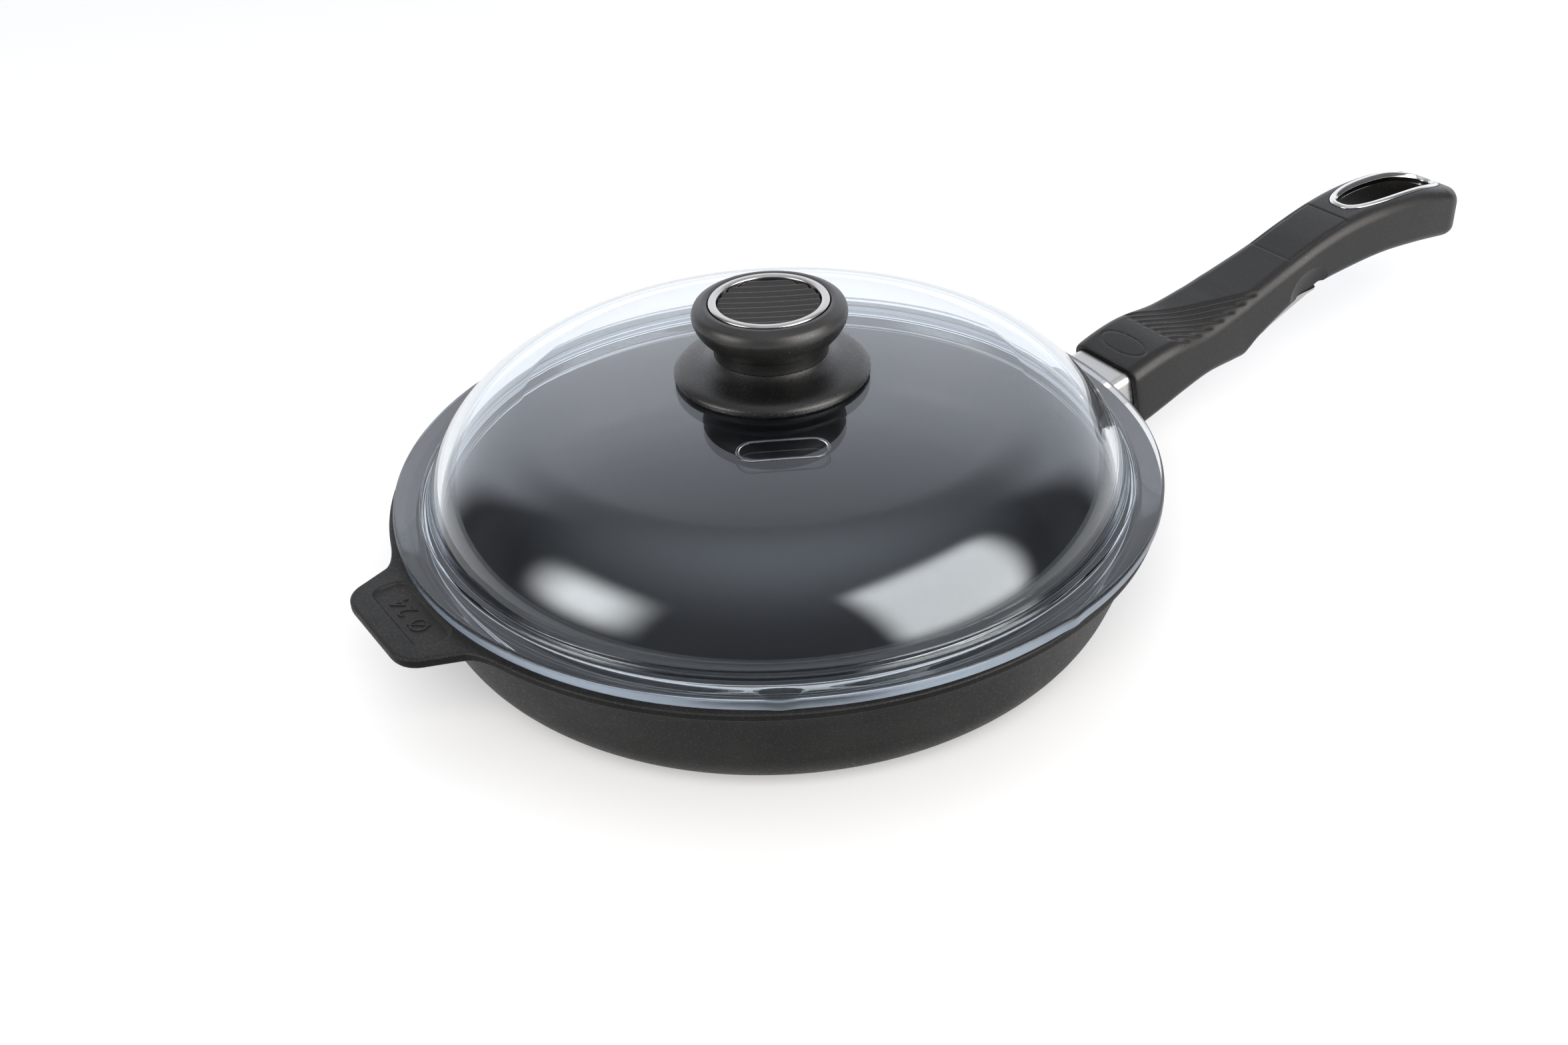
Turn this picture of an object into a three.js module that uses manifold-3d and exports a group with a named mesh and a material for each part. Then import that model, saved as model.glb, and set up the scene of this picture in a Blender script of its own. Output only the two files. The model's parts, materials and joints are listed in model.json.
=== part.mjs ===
// Frying pan with a removable handle and a domed glass lid, in millimetres.
// The flat base of the pan is centred on the origin, +Z is up and the handle points along +X.
import * as THREE from 'three';
import { mergeVertices } from 'three/addons/utils/BufferGeometryUtils.js';
import Module from 'manifold-3d';

const wasm = await Module();
wasm.setup();

const radians = THREE.MathUtils.degToRad;

// Gaps: between faces that rest on each other, round a piece held in a pocket, round a turning pin
const seatGap = 0.2;
const fitGap = 0.3;
const runningGap = 0.12;

// How far a cut runs past the face it opens
const overcut = 1;

// Facets round the large turned pieces, the knob and the small hardware
const largeFacets = 48;
const knobFacets = 32;
const smallFacets = 16;

// Pan: cast bowl with a leaning wall under a rolled-out rim band
const panHeight = 44.8;
const rimRadius = 126.2;
const rimHeight = 2.6;
const rimOverhang = 2.4;
const rimRounding = 0.7;
const cornerRadius = 27.8;
const wallLeanDegrees = 20;
const wallThickness = 4.4;
const floorThickness = 8.5;
const innerCornerRadius = 20;

// Ear: flat helper grip opposite the handle, with a shallow panel in its top
const earReach = 17.2;
const earThickness = 3.6;
const earRounding = 1.1;
const earTipHalfWidth = 13;
const earShoulderReach = 10.7;
const earShoulderHalfWidth = 23.6;
const earCornerPull = 2.4;
const earRootReach = 1.3;
const earRootHalfWidth = 27.3;
const earFlareHalfWidth = 40;
const earFlareReach = 12;
const panelHalfWidth = 18.8;
const panelLength = 12.9;
const panelOverlap = 2.4;
const panelCorner = 5;
const panelDepth = 0.9;

// Stub: bare metal block drawn into a pocket in the pan's lug by two screws
const stubTiltDegrees = 12;
const stubRootBeyondRim = 3.6;
const stubRootBelowRim = 16.3;
const stubHalfWidth = 14;
const stubHalfHeight = 7.5;
const stubEdgeRadius = 3;
const stubLength = 58;
const stubTopTaper = 2.9;
const stubEndChamfer = 2.2;
const lugDepth = 15;
const lugWall = 2.2;
const lugPocketDepth = 3;
const screwSpread = 8;
const screwHeight = -1.45;
const screwRadius = 2.5;
const screwHeadRadius = 4.2;
const screwHeadLength = 5;
const screwSeat = 6.5;
const screwThread = 7.2;
const screwChamfer = 0.5;
const springWasherThickness = 1.2;
const washerSplit = 0.8;

// Handle: moulded shell lofted between its top and bottom lines, its mouth a little way along the stub
const handleFront = 17.8;
const handleLength = 179;
const socketWall = 2.7;
const socketRoof = 2.5;
const socketEndGap = 1.5;
const topEdgeRadius = 5;
const bottomEdgeRadius = 4;
const endPlanRadius = 12;
const endEdgeRadius = 3.5;
const ribCount = 7;
const ribPitch = 6.05;
const ribSetback = 22.2;
const ribSlope = 0.637;
const ribRadius = 1.6;
const ribDepth = 0.9;
const ribShoulder = 15;
const ribOverrun = 4;
const scoopRadius = 10.5;
const scoopBehindHeel = 32.4;
const scoopHeight = -14.1;
const scoopFacets = 28;
const dishRadius = 28;
const dishFacets = 28;
const dishDepth = 1.8;
const dishBehindScoop = 3.2;
const dishHeight = -5;

// Hanging loop: oval sleeve with a lip let into the top of the handle
const loopEndMargin = 4.2;
const loopTiltDegrees = 16.5;
const loopHalfLength = 27.2;
const loopHalfWidth = 10.8;
const loopRoundness = 2.6;
const loopLipWidth = 3;
const loopWall = 1.5;
const loopLipThickness = 1.1;
const loopLipProud = 0.5;

// Catch: sheet-metal lever on a cross pin, its tab hooked into a notch in the stub
const leverHalfWidth = 10.5;
const leverThickness = 1.4;
const leverSideGap = 0.4;
const leverCover = 0.8;
const webThickness = 5.5;
const leverSetback = 2.4;
const leverBehindHeel = 3.6;
const tipBehindScoop = 9.2;
const tipRise = 6.2;
const pivotSetback = 11.7;
const pinRadius = 1.5;
const pinSeat = 2;
const knuckleRadius = 2.5;
const knuckleGap = 0.45;
const tailSwing = 1.6;
const tabFromStubEnd = 6.3;
const tabHalfWidth = 4;
const tabGrip = 1.7;
const tabRoomFront = 2.4;
const tabRoomBack = 3.2;
const tabSideGap = 0.6;
const notchSlack = 0.9;
const springSetback = 5.6;
const springRadius = 1.7;
const springWire = 0.35;
const springTurns = 3;
const springRoof = 1.2;
const springSideGap = 0.5;

// Lid: pressed glass dome with a flange on the rim and a plug ring inside it
const flangeInset = 1.7;
const flangeThickness = 4.3;
const flangeRounding = 0.6;
const domeRise = 35;
const domeFootInset = 1.3;
const crownRadius = 675;
const shoulderRadius = 39.9;
const glassThickness = 4.5;
const plugClearance = 0.5;
const lidPlay = 1.8;
const plugDepth = 4.5;
const lidHoleRadius = 5;

// Knob: flared base, mushroom grip, steel ring and ribbed disc, drawn down by a screw through the glass
const knobBaseRadius = 31.6;
const knobBaseHeight = 7;
const neckRadius = 18.4;
const gripRadius = 24.85;
const gripHeight = 17;
const gripTopRounding = 3.4;
const ringOuterRadius = 19.3;
const ringInnerRadius = 16.6;
const ringDepth = 2.2;
const ringProud = 0.5;
const ringCrown = 0.7;
const insertSunk = 1.4;
const insertThickness = 2.4;
const ridgeCount = 9;
const ridgeHeight = 0.7;
const ridgeTurnDegrees = -32;
const knobEdge = 1.5;
const knobSkirt = 2.4;
const knobSealThickness = 1;
const knobScrewRadius = 2.9;
const knobScrewHeadRadius = 5.6;
const knobScrewHeadHeight = 3;
const nutRadius = 5;
const nutHeight = 9;
const innerSealRadius = 10;
const innerSealThickness = 1;
const washerRadius = 9;
const washerThickness = 0.8;
const slotHalfWidth = 0.6;

// Heights and places that follow from the sizes above
const wallLean = radians(wallLeanDegrees);
const stubTilt = radians(stubTiltDegrees);
const rimFoot = panHeight - rimHeight;
const stubRootX = rimRadius + stubRootBeyondRim;
const stubRootZ = panHeight - stubRootBelowRim;
const flangeRadius = rimRadius - flangeInset;
const flangeBottom = panHeight + seatGap;
const flangeTop = flangeBottom + flangeThickness;
const plugBottom = flangeBottom - plugDepth;
const plugRadius = innerRadiusAt(plugBottom) - lidPlay - plugClearance;
const domeFootRadius = plugRadius - domeFootInset;
const domeTop = flangeTop + domeRise;

// Socket, lever and pivot, square to the stub's axis and along it
const handleHalfWidth = stubHalfWidth + fitGap + socketWall;
const handleCrown = stubHalfHeight + fitGap + socketRoof;
const socketFloor = -stubHalfHeight - fitGap;
const leverTop = socketFloor - webThickness - fitGap;
const leverUnderside = leverTop - leverThickness;
const handleDepth = leverCover - leverUnderside;
const pivotHeight = leverUnderside + knuckleRadius;
const leverFront = handleFront + leverSetback;
const pivotPlace = handleFront + pivotSetback;
const springPlace = handleFront + springSetback;
const springTop = socketFloor - springRoof;
const tabPlace = stubLength - tabFromStubEnd;

// Closed body from any geometry, its faces turned outward whichever way the outline was drawn
function solid(geometry) {
  const bare = geometry.clone();
  bare.deleteAttribute('normal');
  bare.deleteAttribute('uv');
  const joined = mergeVertices(bare);
  const corners = joined.index.array;
  const outward = [];
  const inward = [];
  for (let i = 0; i < corners.length; i += 3) {
    const [a, b, c] = corners.slice(i, i + 3);
    if (a !== b && b !== c && c !== a) {
      outward.push(a, b, c);
      inward.push(a, c, b);
    }
  }
  const vertProperties = joined.attributes.position.array;
  const meshOf = (list) => new wasm.Mesh({ numProp: 3, vertProperties, triVerts: new Uint32Array(list) });
  const body = new wasm.Manifold(meshOf(outward));
  return body.volume() > 0 ? body : new wasm.Manifold(meshOf(inward));
}

// Named mesh of a body
function piece(name, body, material) {
  const surface = body.getMesh();
  const geometry = new THREE.BufferGeometry();
  geometry.setAttribute('position', new THREE.BufferAttribute(surface.vertProperties, 3));
  geometry.setIndex(new THREE.BufferAttribute(surface.triVerts, 1));
  geometry.computeVertexNormals();
  const mesh = new THREE.Mesh(geometry, material);
  mesh.name = name;
  return mesh;
}

// Body turned about +Z from [radius, height] pairs
function turned(profile, facets) {
  const points = profile.map(([radius, height]) => new THREE.Vector2(radius, height));
  const geometry = new THREE.LatheGeometry(points, facets);
  geometry.rotateX(Math.PI / 2);
  return solid(geometry);
}

// Flat ring or tube turned about +Z
function turnedRing(inner, outer, bottom, top, facets) {
  return turned([[inner, bottom], [outer, bottom], [outer, top], [inner, top], [inner, bottom]], facets);
}

// Round bar along +Z
function roundBar(radius, bottom, top, facets) {
  return turned([[0, bottom], [radius, bottom], [radius, top], [0, top]], facets);
}

// Round bar along Y through the point (x, z)
function crossBar(radius, x, z, from, to, facets) {
  return roundBar(radius, from, to, facets).rotate([-90, 0, 0]).translate([x, 0, z]);
}

// Block between two corners
function block(low, high) {
  const size = high.map((value, i) => value - low[i]);
  const geometry = new THREE.BoxGeometry(...size);
  geometry.translate(...low.map((value, i) => value + size[i] / 2));
  return solid(geometry);
}

// Prism of an outline in the XY plane, between two heights
function prism(shape, bottom, top, curveSegments) {
  const geometry = new THREE.ExtrudeGeometry(shape, { depth: top - bottom, bevelEnabled: false, curveSegments });
  geometry.translate(0, 0, bottom);
  return solid(geometry);
}

// Prism of an outline in the XZ plane, centred across Y
function sidePrism(shape, halfWidth) {
  return prism(shape, -halfWidth, halfWidth, 6).rotate([90, 0, 0]);
}

// Skin through rings of equal count, closed at both ends
function loft(rings) {
  const count = rings[0].length;
  const positions = rings.flatMap((ring) => ring.flatMap((point) => point.toArray()));
  const index = [];
  for (let r = 0; r + 1 < rings.length; r += 1) {
    for (let i = 0; i < count; i += 1) {
      const here = r * count + i;
      const next = r * count + ((i + 1) % count);
      index.push(here, next, next + count, here, next + count, here + count);
    }
  }
  [0, rings.length - 1].forEach((r) => {
    const middle = positions.length / 3;
    const centre = new THREE.Vector3();
    rings[r].forEach((point) => centre.addScaledVector(point, 1 / count));
    positions.push(...centre.toArray());
    for (let i = 0; i < count; i += 1) {
      const here = r * count + i;
      const next = r * count + ((i + 1) % count);
      index.push(...(r === 0 ? [middle, next, here] : [middle, here, next]));
    }
  });
  const geometry = new THREE.BufferGeometry();
  geometry.setAttribute('position', new THREE.Float32BufferAttribute(positions, 3));
  geometry.setIndex(index);
  return solid(geometry);
}

// Rod of round section along a smooth path
function rod(points, radius, steps, sides) {
  const path = new THREE.CatmullRomCurve3(points);
  const frames = path.computeFrenetFrames(steps, false);
  const rings = [];
  for (let k = 0; k <= steps; k += 1) {
    const centre = path.getPointAt(k / steps);
    const ring = [];
    for (let i = 0; i < sides; i += 1) {
      const angle = (2 * Math.PI * i) / sides;
      const point = centre.clone();
      point.addScaledVector(frames.normals[k], radius * Math.cos(angle));
      point.addScaledVector(frames.binormals[k], radius * Math.sin(angle));
      ring.push(point);
    }
    rings.push(ring);
  }
  return loft(rings);
}

// Points of an arc about a centre, angles in radians, both ends included
function arc(centreR, centreZ, radius, from, to, steps) {
  const points = [];
  for (let k = 0; k <= steps; k += 1) {
    const angle = from + ((to - from) * k) / steps;
    points.push([centreR + radius * Math.cos(angle), centreZ + radius * Math.sin(angle)]);
  }
  return points;
}

// Rectangle with rounded corners as [y, z] pairs
function roundedSection(halfWidth, bottom, top, bottomRadius, topRadius, steps) {
  const limit = 0.98 * Math.min(halfWidth, (top - bottom) / 2);
  const upper = Math.min(topRadius, limit);
  const lower = Math.min(bottomRadius, limit);
  return [
    ...arc(halfWidth - upper, top - upper, upper, 0, Math.PI / 2, steps),
    ...arc(upper - halfWidth, top - upper, upper, Math.PI / 2, Math.PI, steps),
    ...arc(lower - halfWidth, bottom + lower, lower, Math.PI, 1.5 * Math.PI, steps),
    ...arc(halfWidth - lower, bottom + lower, lower, 1.5 * Math.PI, 2 * Math.PI, steps),
  ];
}

// Oval between an ellipse and a rounded rectangle
function ovalShape(halfLength, halfWidth) {
  const points = [];
  const steps = 32;
  const soften = (value) => Math.sign(value) * Math.abs(value) ** (2 / loopRoundness);
  for (let k = 0; k < steps; k += 1) {
    const angle = (2 * Math.PI * k) / steps;
    points.push(new THREE.Vector2(halfLength * soften(Math.cos(angle)), halfWidth * soften(Math.sin(angle))));
  }
  return new THREE.Shape(points);
}

const blackCoat = new THREE.MeshStandardMaterial({ color: 0x1c1d20, roughness: 0.55, metalness: 0.2 });
const bareMetal = new THREE.MeshStandardMaterial({ color: 0xb9bcc0, roughness: 0.4, metalness: 1 });
const polishedSteel = new THREE.MeshStandardMaterial({ color: 0xd5d8db, roughness: 0.15, metalness: 1 });
const moulding = new THREE.MeshStandardMaterial({ color: 0x17181a, roughness: 0.5, metalness: 0 });
const glass = new THREE.MeshStandardMaterial({
  color: 0xcfe0e4, roughness: 0.05, metalness: 0, transparent: true, opacity: 0.35,
});
const silicone = new THREE.MeshStandardMaterial({ color: 0x2b2c2f, roughness: 0.8, metalness: 0 });
const brass = new THREE.MeshStandardMaterial({ color: 0xc2a24f, roughness: 0.35, metalness: 1 });

// Radius of the outer wall's cone at a height, measured in from the rim band
function wallRadiusAt(height) {
  return rimRadius - rimOverhang - (rimFoot - height) * Math.tan(wallLean);
}

// Radius of the inner wall's cone at a height
function innerRadiusAt(height) {
  return wallRadiusAt(height) - wallThickness / Math.cos(wallLean);
}

// Outside of the bowl with its rolled-out rim, still filled
function panOutside() {
  const cornerTop = cornerRadius * (1 - Math.sin(wallLean));
  const baseRadius = wallRadiusAt(cornerTop) - cornerRadius * Math.cos(wallLean);
  return turned([
    [0, 0],
    ...arc(baseRadius, cornerRadius, cornerRadius, -Math.PI / 2, -wallLean, 6),
    [wallRadiusAt(rimFoot - rimRounding), rimFoot - rimRounding],
    [rimRadius - rimRounding, rimFoot],
    [rimRadius, rimFoot + rimRounding],
    [rimRadius, panHeight - rimRounding],
    [rimRadius - rimRounding, panHeight],
    [0, panHeight],
  ], largeFacets);
}

// Hollow of the bowl, open above the rim
function panHollow() {
  const centreHeight = floorThickness + innerCornerRadius;
  const centreRadius = innerRadiusAt(centreHeight) - innerCornerRadius / Math.cos(wallLean);
  const lipHeight = panHeight - rimRounding;
  const openHeight = panHeight + 2 * rimRounding;
  return turned([
    [0, floorThickness],
    ...arc(centreRadius, centreHeight, innerCornerRadius, -Math.PI / 2, -wallLean, 5),
    [innerRadiusAt(lipHeight), lipHeight],
    [innerRadiusAt(lipHeight) + openHeight - lipHeight, openHeight],
    [0, openHeight],
  ], largeFacets);
}

// Ear with rounded edges, its inner end buried in the rim
function panEar() {
  const tip = -rimRadius - earReach;
  const shoulder = -rimRadius - earShoulderReach;
  const root = -rimRadius - earRootReach;
  const buried = rimRadius - wallThickness;
  const flareX = -Math.sqrt(rimRadius ** 2 - earFlareHalfWidth ** 2);
  const bendX = flareX - (earFlareReach * earFlareHalfWidth) / rimRadius;
  const bendY = earFlareHalfWidth + (earFlareReach * flareX) / rimRadius;
  const half = Math.asin(earFlareHalfWidth / rimRadius);
  const shape = new THREE.Shape();
  shape.moveTo(flareX, earFlareHalfWidth);
  shape.quadraticCurveTo(bendX, bendY, root, earRootHalfWidth);
  shape.lineTo(shoulder, earShoulderHalfWidth);
  shape.quadraticCurveTo(tip, earShoulderHalfWidth - earCornerPull, tip, earTipHalfWidth);
  shape.lineTo(tip, -earTipHalfWidth);
  shape.quadraticCurveTo(tip, earCornerPull - earShoulderHalfWidth, shoulder, -earShoulderHalfWidth);
  shape.lineTo(root, -earRootHalfWidth);
  shape.quadraticCurveTo(bendX, -bendY, flareX, -earFlareHalfWidth);
  shape.absarc(0, 0, buried, Math.PI + half, Math.PI - half, true);
  const geometry = new THREE.ExtrudeGeometry(shape, {
    depth: earThickness - 2 * earRounding,
    bevelThickness: earRounding,
    bevelSize: earRounding,
    bevelOffset: -earRounding,
    bevelSegments: 2,
    curveSegments: 6,
  });
  geometry.translate(0, 0, panHeight - earThickness + earRounding);
  return solid(geometry);
}

// Shallow rounded panel cut into the ear's top
function earPanel() {
  const near = -rimRadius + panelOverlap;
  const far = near - panelLength;
  const shape = new THREE.Shape();
  shape.absarc(near - panelCorner, panelHalfWidth - panelCorner, panelCorner, 0, Math.PI / 2, false);
  shape.absarc(far + panelCorner, panelHalfWidth - panelCorner, panelCorner, Math.PI / 2, Math.PI, false);
  shape.absarc(far + panelCorner, panelCorner - panelHalfWidth, panelCorner, Math.PI, 1.5 * Math.PI, false);
  shape.absarc(near - panelCorner, panelCorner - panelHalfWidth, panelCorner, 1.5 * Math.PI, 2 * Math.PI, false);
  return prism(shape, panHeight - panelDepth, panHeight + overcut, 4);
}

// Top of the stub: level up to the handle's mouth, then tapering down to its end
function stubTopAt(place) {
  const tapered = Math.max(0, place - handleFront) / (stubLength - handleFront);
  return stubHalfHeight - stubTopTaper * tapered;
}

// Stub outline between two places along it, grown by a clearance on every side
function stubForm(from, to, clearance) {
  const places = [from, handleFront, to];
  const rings = places.map((place) => {
    const section = roundedSection(
      stubHalfWidth + clearance,
      -stubHalfHeight - clearance,
      stubTopAt(place) + clearance,
      stubEdgeRadius + clearance,
      stubEdgeRadius + clearance,
      3,
    );
    return section.map(([y, z]) => new THREE.Vector3(place, y, z));
  });
  return loft(rings);
}

// Bar along the stub's axis at one of the two screw places
function screwBar(side, radius, from, to) {
  return roundBar(radius, from, to, smallFacets).rotate([0, 90, 0]).translate([0, side * screwSpread, screwHeight]);
}

// Lug cast on the pan, with the stub's pocket and the two screw holes, in the stub's frame
function panLug() {
  const halfWidth = stubHalfWidth + lugWall;
  const halfHeight = stubHalfHeight + lugWall;
  const section = roundedSection(halfWidth, -halfHeight, halfHeight, stubEdgeRadius, stubEdgeRadius, 3);
  const rings = [-lugDepth, 0].map((place) => section.map(([y, z]) => new THREE.Vector3(place, y, z)));
  return loft(rings);
}

// Lug and pan share one casting; the stub's frame is tilted about Y at the stub's root
function toPanFrame(body) {
  return body.rotate([0, -stubTiltDegrees, 0]).translate([stubRootX, 0, stubRootZ]);
}

function panBody() {
  const pocket = stubForm(-lugPocketDepth, stubLength, fitGap);
  let body = panOutside().add(panEar()).add(toPanFrame(panLug()));
  body = body.subtract(panHollow()).subtract(earPanel()).subtract(toPanFrame(pocket));
  [-1, 1].forEach((side) => {
    const hole = screwBar(side, screwRadius + runningGap, -lugPocketDepth - screwThread, 0);
    body = body.subtract(toPanFrame(hole));
  });
  return body;
}

// Stub with its screw bores, the notch for the catch and a chamfer at the end that leads into the handle
function handleStub() {
  const root = -lugPocketDepth + seatGap;
  let body = stubForm(root, stubLength, 0);
  [-1, 1].forEach((side) => {
    body = body.subtract(screwBar(side, screwRadius + fitGap, root - overcut, screwSeat + overcut));
    body = body.subtract(screwBar(side, screwHeadRadius + fitGap, screwSeat, stubLength + overcut));
  });
  const notchLow = [
    tabPlace - leverThickness / 2 - fitGap,
    -tabHalfWidth - fitGap,
    -stubHalfHeight - overcut,
  ];
  const notchHigh = [
    tabPlace + leverThickness / 2 + notchSlack,
    tabHalfWidth + fitGap,
    -stubHalfHeight + tabGrip + 2 * fitGap,
  ];
  const chamfer = new THREE.Shape([
    new THREE.Vector2(stubLength - stubEndChamfer, -stubHalfHeight),
    new THREE.Vector2(stubLength + overcut, stubEndChamfer - stubHalfHeight + overcut),
    new THREE.Vector2(stubLength + overcut, -stubHalfHeight - overcut),
    new THREE.Vector2(stubLength - stubEndChamfer - overcut, -stubHalfHeight - overcut),
  ]);
  return body.subtract(block(notchLow, notchHigh)).subtract(sidePrism(chamfer, stubHalfWidth + overcut));
}

// Socket screw along the stub, its head towards the handle
function stubScrew(side) {
  const headFoot = screwSeat + springWasherThickness + 2 * seatGap;
  const headEnd = headFoot + screwHeadLength;
  const threadEnd = -lugPocketDepth - screwThread + seatGap;
  const body = turned([
    [0, threadEnd],
    [screwRadius, threadEnd],
    [screwRadius, headFoot],
    [screwHeadRadius, headFoot],
    [screwHeadRadius, headEnd - screwChamfer],
    [screwHeadRadius - screwChamfer, headEnd],
    [0, headEnd],
  ], smallFacets);
  const key = roundBar(screwHeadRadius * 0.55, headEnd - screwHeadLength / 2, headEnd + overcut, 6);
  return body.subtract(key).rotate([0, 90, 0]).translate([0, side * screwSpread, screwHeight]);
}

// Split spring washer under the screw's head
function stubWasher(side) {
  const bottom = screwSeat + seatGap;
  const inner = screwRadius + runningGap;
  const body = turnedRing(inner, screwHeadRadius, bottom, bottom + springWasherThickness, smallFacets);
  const top = bottom + springWasherThickness;
  const half = washerSplit / 2;
  const split = block([0, -half, bottom - overcut], [2 * screwHeadRadius, half, top + overcut]);
  return body.subtract(split).rotate([0, 90, 0]).translate([0, side * screwSpread, screwHeight]);
}

// Point of the handle's top or bottom line, from its share of the handle's length and of a height
function handlePoint(along, height) {
  return new THREE.Vector2(handleFront + along * handleLength, height);
}

// The handle's S-shaped outline from the mouth to the start of the rounded end. Each station has its top point as
// shares of length and crown, its bottom point as shares of length and depth, and its share of the half width.
const handleStations = [
  [0, 0.835, 0, -0.962, 0.941],
  [0.009, 0.913, 0.009, -0.994, 0.988],
  [0.068, 1, 0.068, -0.911, 1],
  [0.124, 0.961, 0.13, -0.823, 0.994],
  [0.202, 0.728, 0.202, -0.797, 0.959],
  [0.28, 0.728, 0.28, -0.949, 0.906],
  [0.314, 0.757, 0.305, -1, 0.882],
  [0.336, 0.786, 0.322, -0.943, 0.871],
  [0.37, 0.825, 0.361, -0.778, 0.847],
  [0.465, 0.961, 0.459, -0.532, 0.794],
  [0.56, 1.136, 0.532, -0.443, 0.782],
  [0.658, 1.175, 0.627, -0.506, 0.812],
  [0.761, 0.971, 0.727, -0.633, 0.871],
  [0.867, 0.534, 0.828, -0.924, 0.894],
  [0.941, -0.029, 0.916, -1.259, 0.882],
].map(([topAlong, top, bottomAlong, bottom, half]) => ({
  top: handlePoint(topAlong, top * handleCrown),
  bottom: handlePoint(bottomAlong, bottom * handleDepth),
  half: half * handleHalfWidth,
}));
const handleEnd = {
  top: handlePoint(1, -0.689 * handleCrown),
  bottom: handlePoint(0.978, -1.462 * handleDepth),
};

const topLine = new THREE.SplineCurve(handleStations.map(({ top }) => top));
const bottomLine = new THREE.SplineCurve(handleStations.map(({ bottom }) => bottom));
const widthLine = new THREE.SplineCurve(handleStations.map(({ half }, i) => new THREE.Vector2(i, half)));
const topSamples = topLine.getPoints(10 * handleStations.length);

// Places along the handle that follow from its outline: the heel is the lowest point behind the socket
const heelPlace = handleStations[6].bottom.x;
const scoopPlace = heelPlace + scoopBehindHeel;
const dishPlace = scoopPlace + dishBehindScoop;
const leverBend = handleStations[7].bottom.x + leverBehindHeel;
const leverTip = scoopPlace + tipBehindScoop;
const ribFront = handleFront + ribSetback;
const loopPlace = handleEnd.top.x - loopHalfLength - loopEndMargin;

// Height of the handle's top line at a place along it
function handleTopAt(place) {
  const after = topSamples.findIndex((point) => point.x >= place);
  const high = topSamples[after];
  const low = topSamples[after - 1];
  return THREE.MathUtils.mapLinear(place, low.x, high.x, low.y, high.y);
}

// Half width of the handle at a place along it
function handleHalfAt(place) {
  const after = topSamples.findIndex((point) => point.x >= place);
  return widthLine.getPoint(after / (topSamples.length - 1)).y;
}

// Ring of the handle's skin between a top and a bottom point
function handleRing(top, bottom, half, inset) {
  const up = top.clone().sub(bottom).normalize();
  const middle = top.clone().add(bottom).multiplyScalar(0.5);
  const reach = top.distanceTo(bottom) / 2 - inset;
  const section = roundedSection(half, -reach, reach, bottomEdgeRadius, topEdgeRadius, 3);
  return section.map(([y, z]) => new THREE.Vector3(middle.x + up.x * z, y, middle.y + up.y * z));
}

// Handle without its hollows
function handleForm() {
  const rings = [];
  const spans = handleStations.length - 1;
  const perSpan = 2;
  for (let k = 0; k <= spans * perSpan; k += 1) {
    const u = k / (spans * perSpan);
    rings.push(handleRing(topLine.getPoint(u), bottomLine.getPoint(u), widthLine.getPoint(u).y, 0));
  }
  const last = handleStations[spans];
  const roundSteps = 6;
  for (let k = 1; k <= roundSteps; k += 1) {
    const turn = (Math.PI / 2) * (k / roundSteps);
    const along = Math.sin(turn);
    const top = last.top.clone().lerp(handleEnd.top, along);
    const bottom = last.bottom.clone().lerp(handleEnd.bottom, along);
    const left = Math.max(0, endEdgeRadius - endPlanRadius * (1 - along));
    const inset = endEdgeRadius - Math.sqrt(endEdgeRadius * endEdgeRadius - left * left);
    rings.push(handleRing(top, bottom, last.half - endPlanRadius * (1 - Math.cos(turn)), inset));
  }
  return loft(rings);
}

// Diagonal groove of the thumb area, running over the top to the shoulder on the -Y side
function ribGroove(number) {
  const end = ribFront + ribPitch * (number + 1);
  const start = -ribShoulder + ribSlope * (end - ribFront);
  const steps = 5;
  const points = [];
  for (let k = 0; k <= steps; k += 1) {
    const place = THREE.MathUtils.lerp(ribFront, end + ribOverrun, k / steps);
    const side = start - ribSlope * (place - ribFront);
    const drop = Math.max(0, -side - ribShoulder + topEdgeRadius) ** 2 / (2 * topEdgeRadius);
    points.push(new THREE.Vector3(place, side, handleTopAt(place) - drop + ribRadius - ribDepth));
  }
  return rod(points, ribRadius, steps, 8);
}

// Turn and move a body from the loop's own frame to the handle's frame
function toLoopPlace(body) {
  return body.rotate([0, loopTiltDegrees, 0]).translate([loopPlace, 0, handleTopAt(loopPlace)]);
}

// Oval bar through the handle at the loop
function loopBar(halfLength, halfWidth) {
  return toLoopPlace(prism(ovalShape(halfLength, halfWidth), -2.5 * handleDepth, 2 * handleCrown, 1));
}

// Layer of the handle's top between two depths below its surface
function topLayer(form, above, below) {
  return form.translate([0, 0, above]).subtract(form.translate([0, 0, -below]));
}

// Room for the lever under the handle: knuckle and tail at the front, plate behind, tab through the web
function leverRoom() {
  const side = leverHalfWidth + leverSideGap;
  const low = -2 * handleDepth;
  const front = block([leverFront - tabSideGap, -side, low], [pivotPlace, side, leverTop + tailSwing]);
  const reach = knuckleRadius + knuckleGap;
  const knuckle = block([pivotPlace - reach, -side, low], [pivotPlace + reach, side, pivotHeight + reach]);
  const plate = block([pivotPlace, -side, low], [leverBend, side, leverTop + fitGap]);
  const tabSide = tabHalfWidth + tabSideGap;
  const windowLow = [tabPlace - tabRoomFront, -tabSide, low];
  const windowHigh = [tabPlace + tabRoomBack, tabSide, socketFloor + overcut];
  return front.add(knuckle).add(plate).add(block(windowLow, windowHigh));
}

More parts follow.
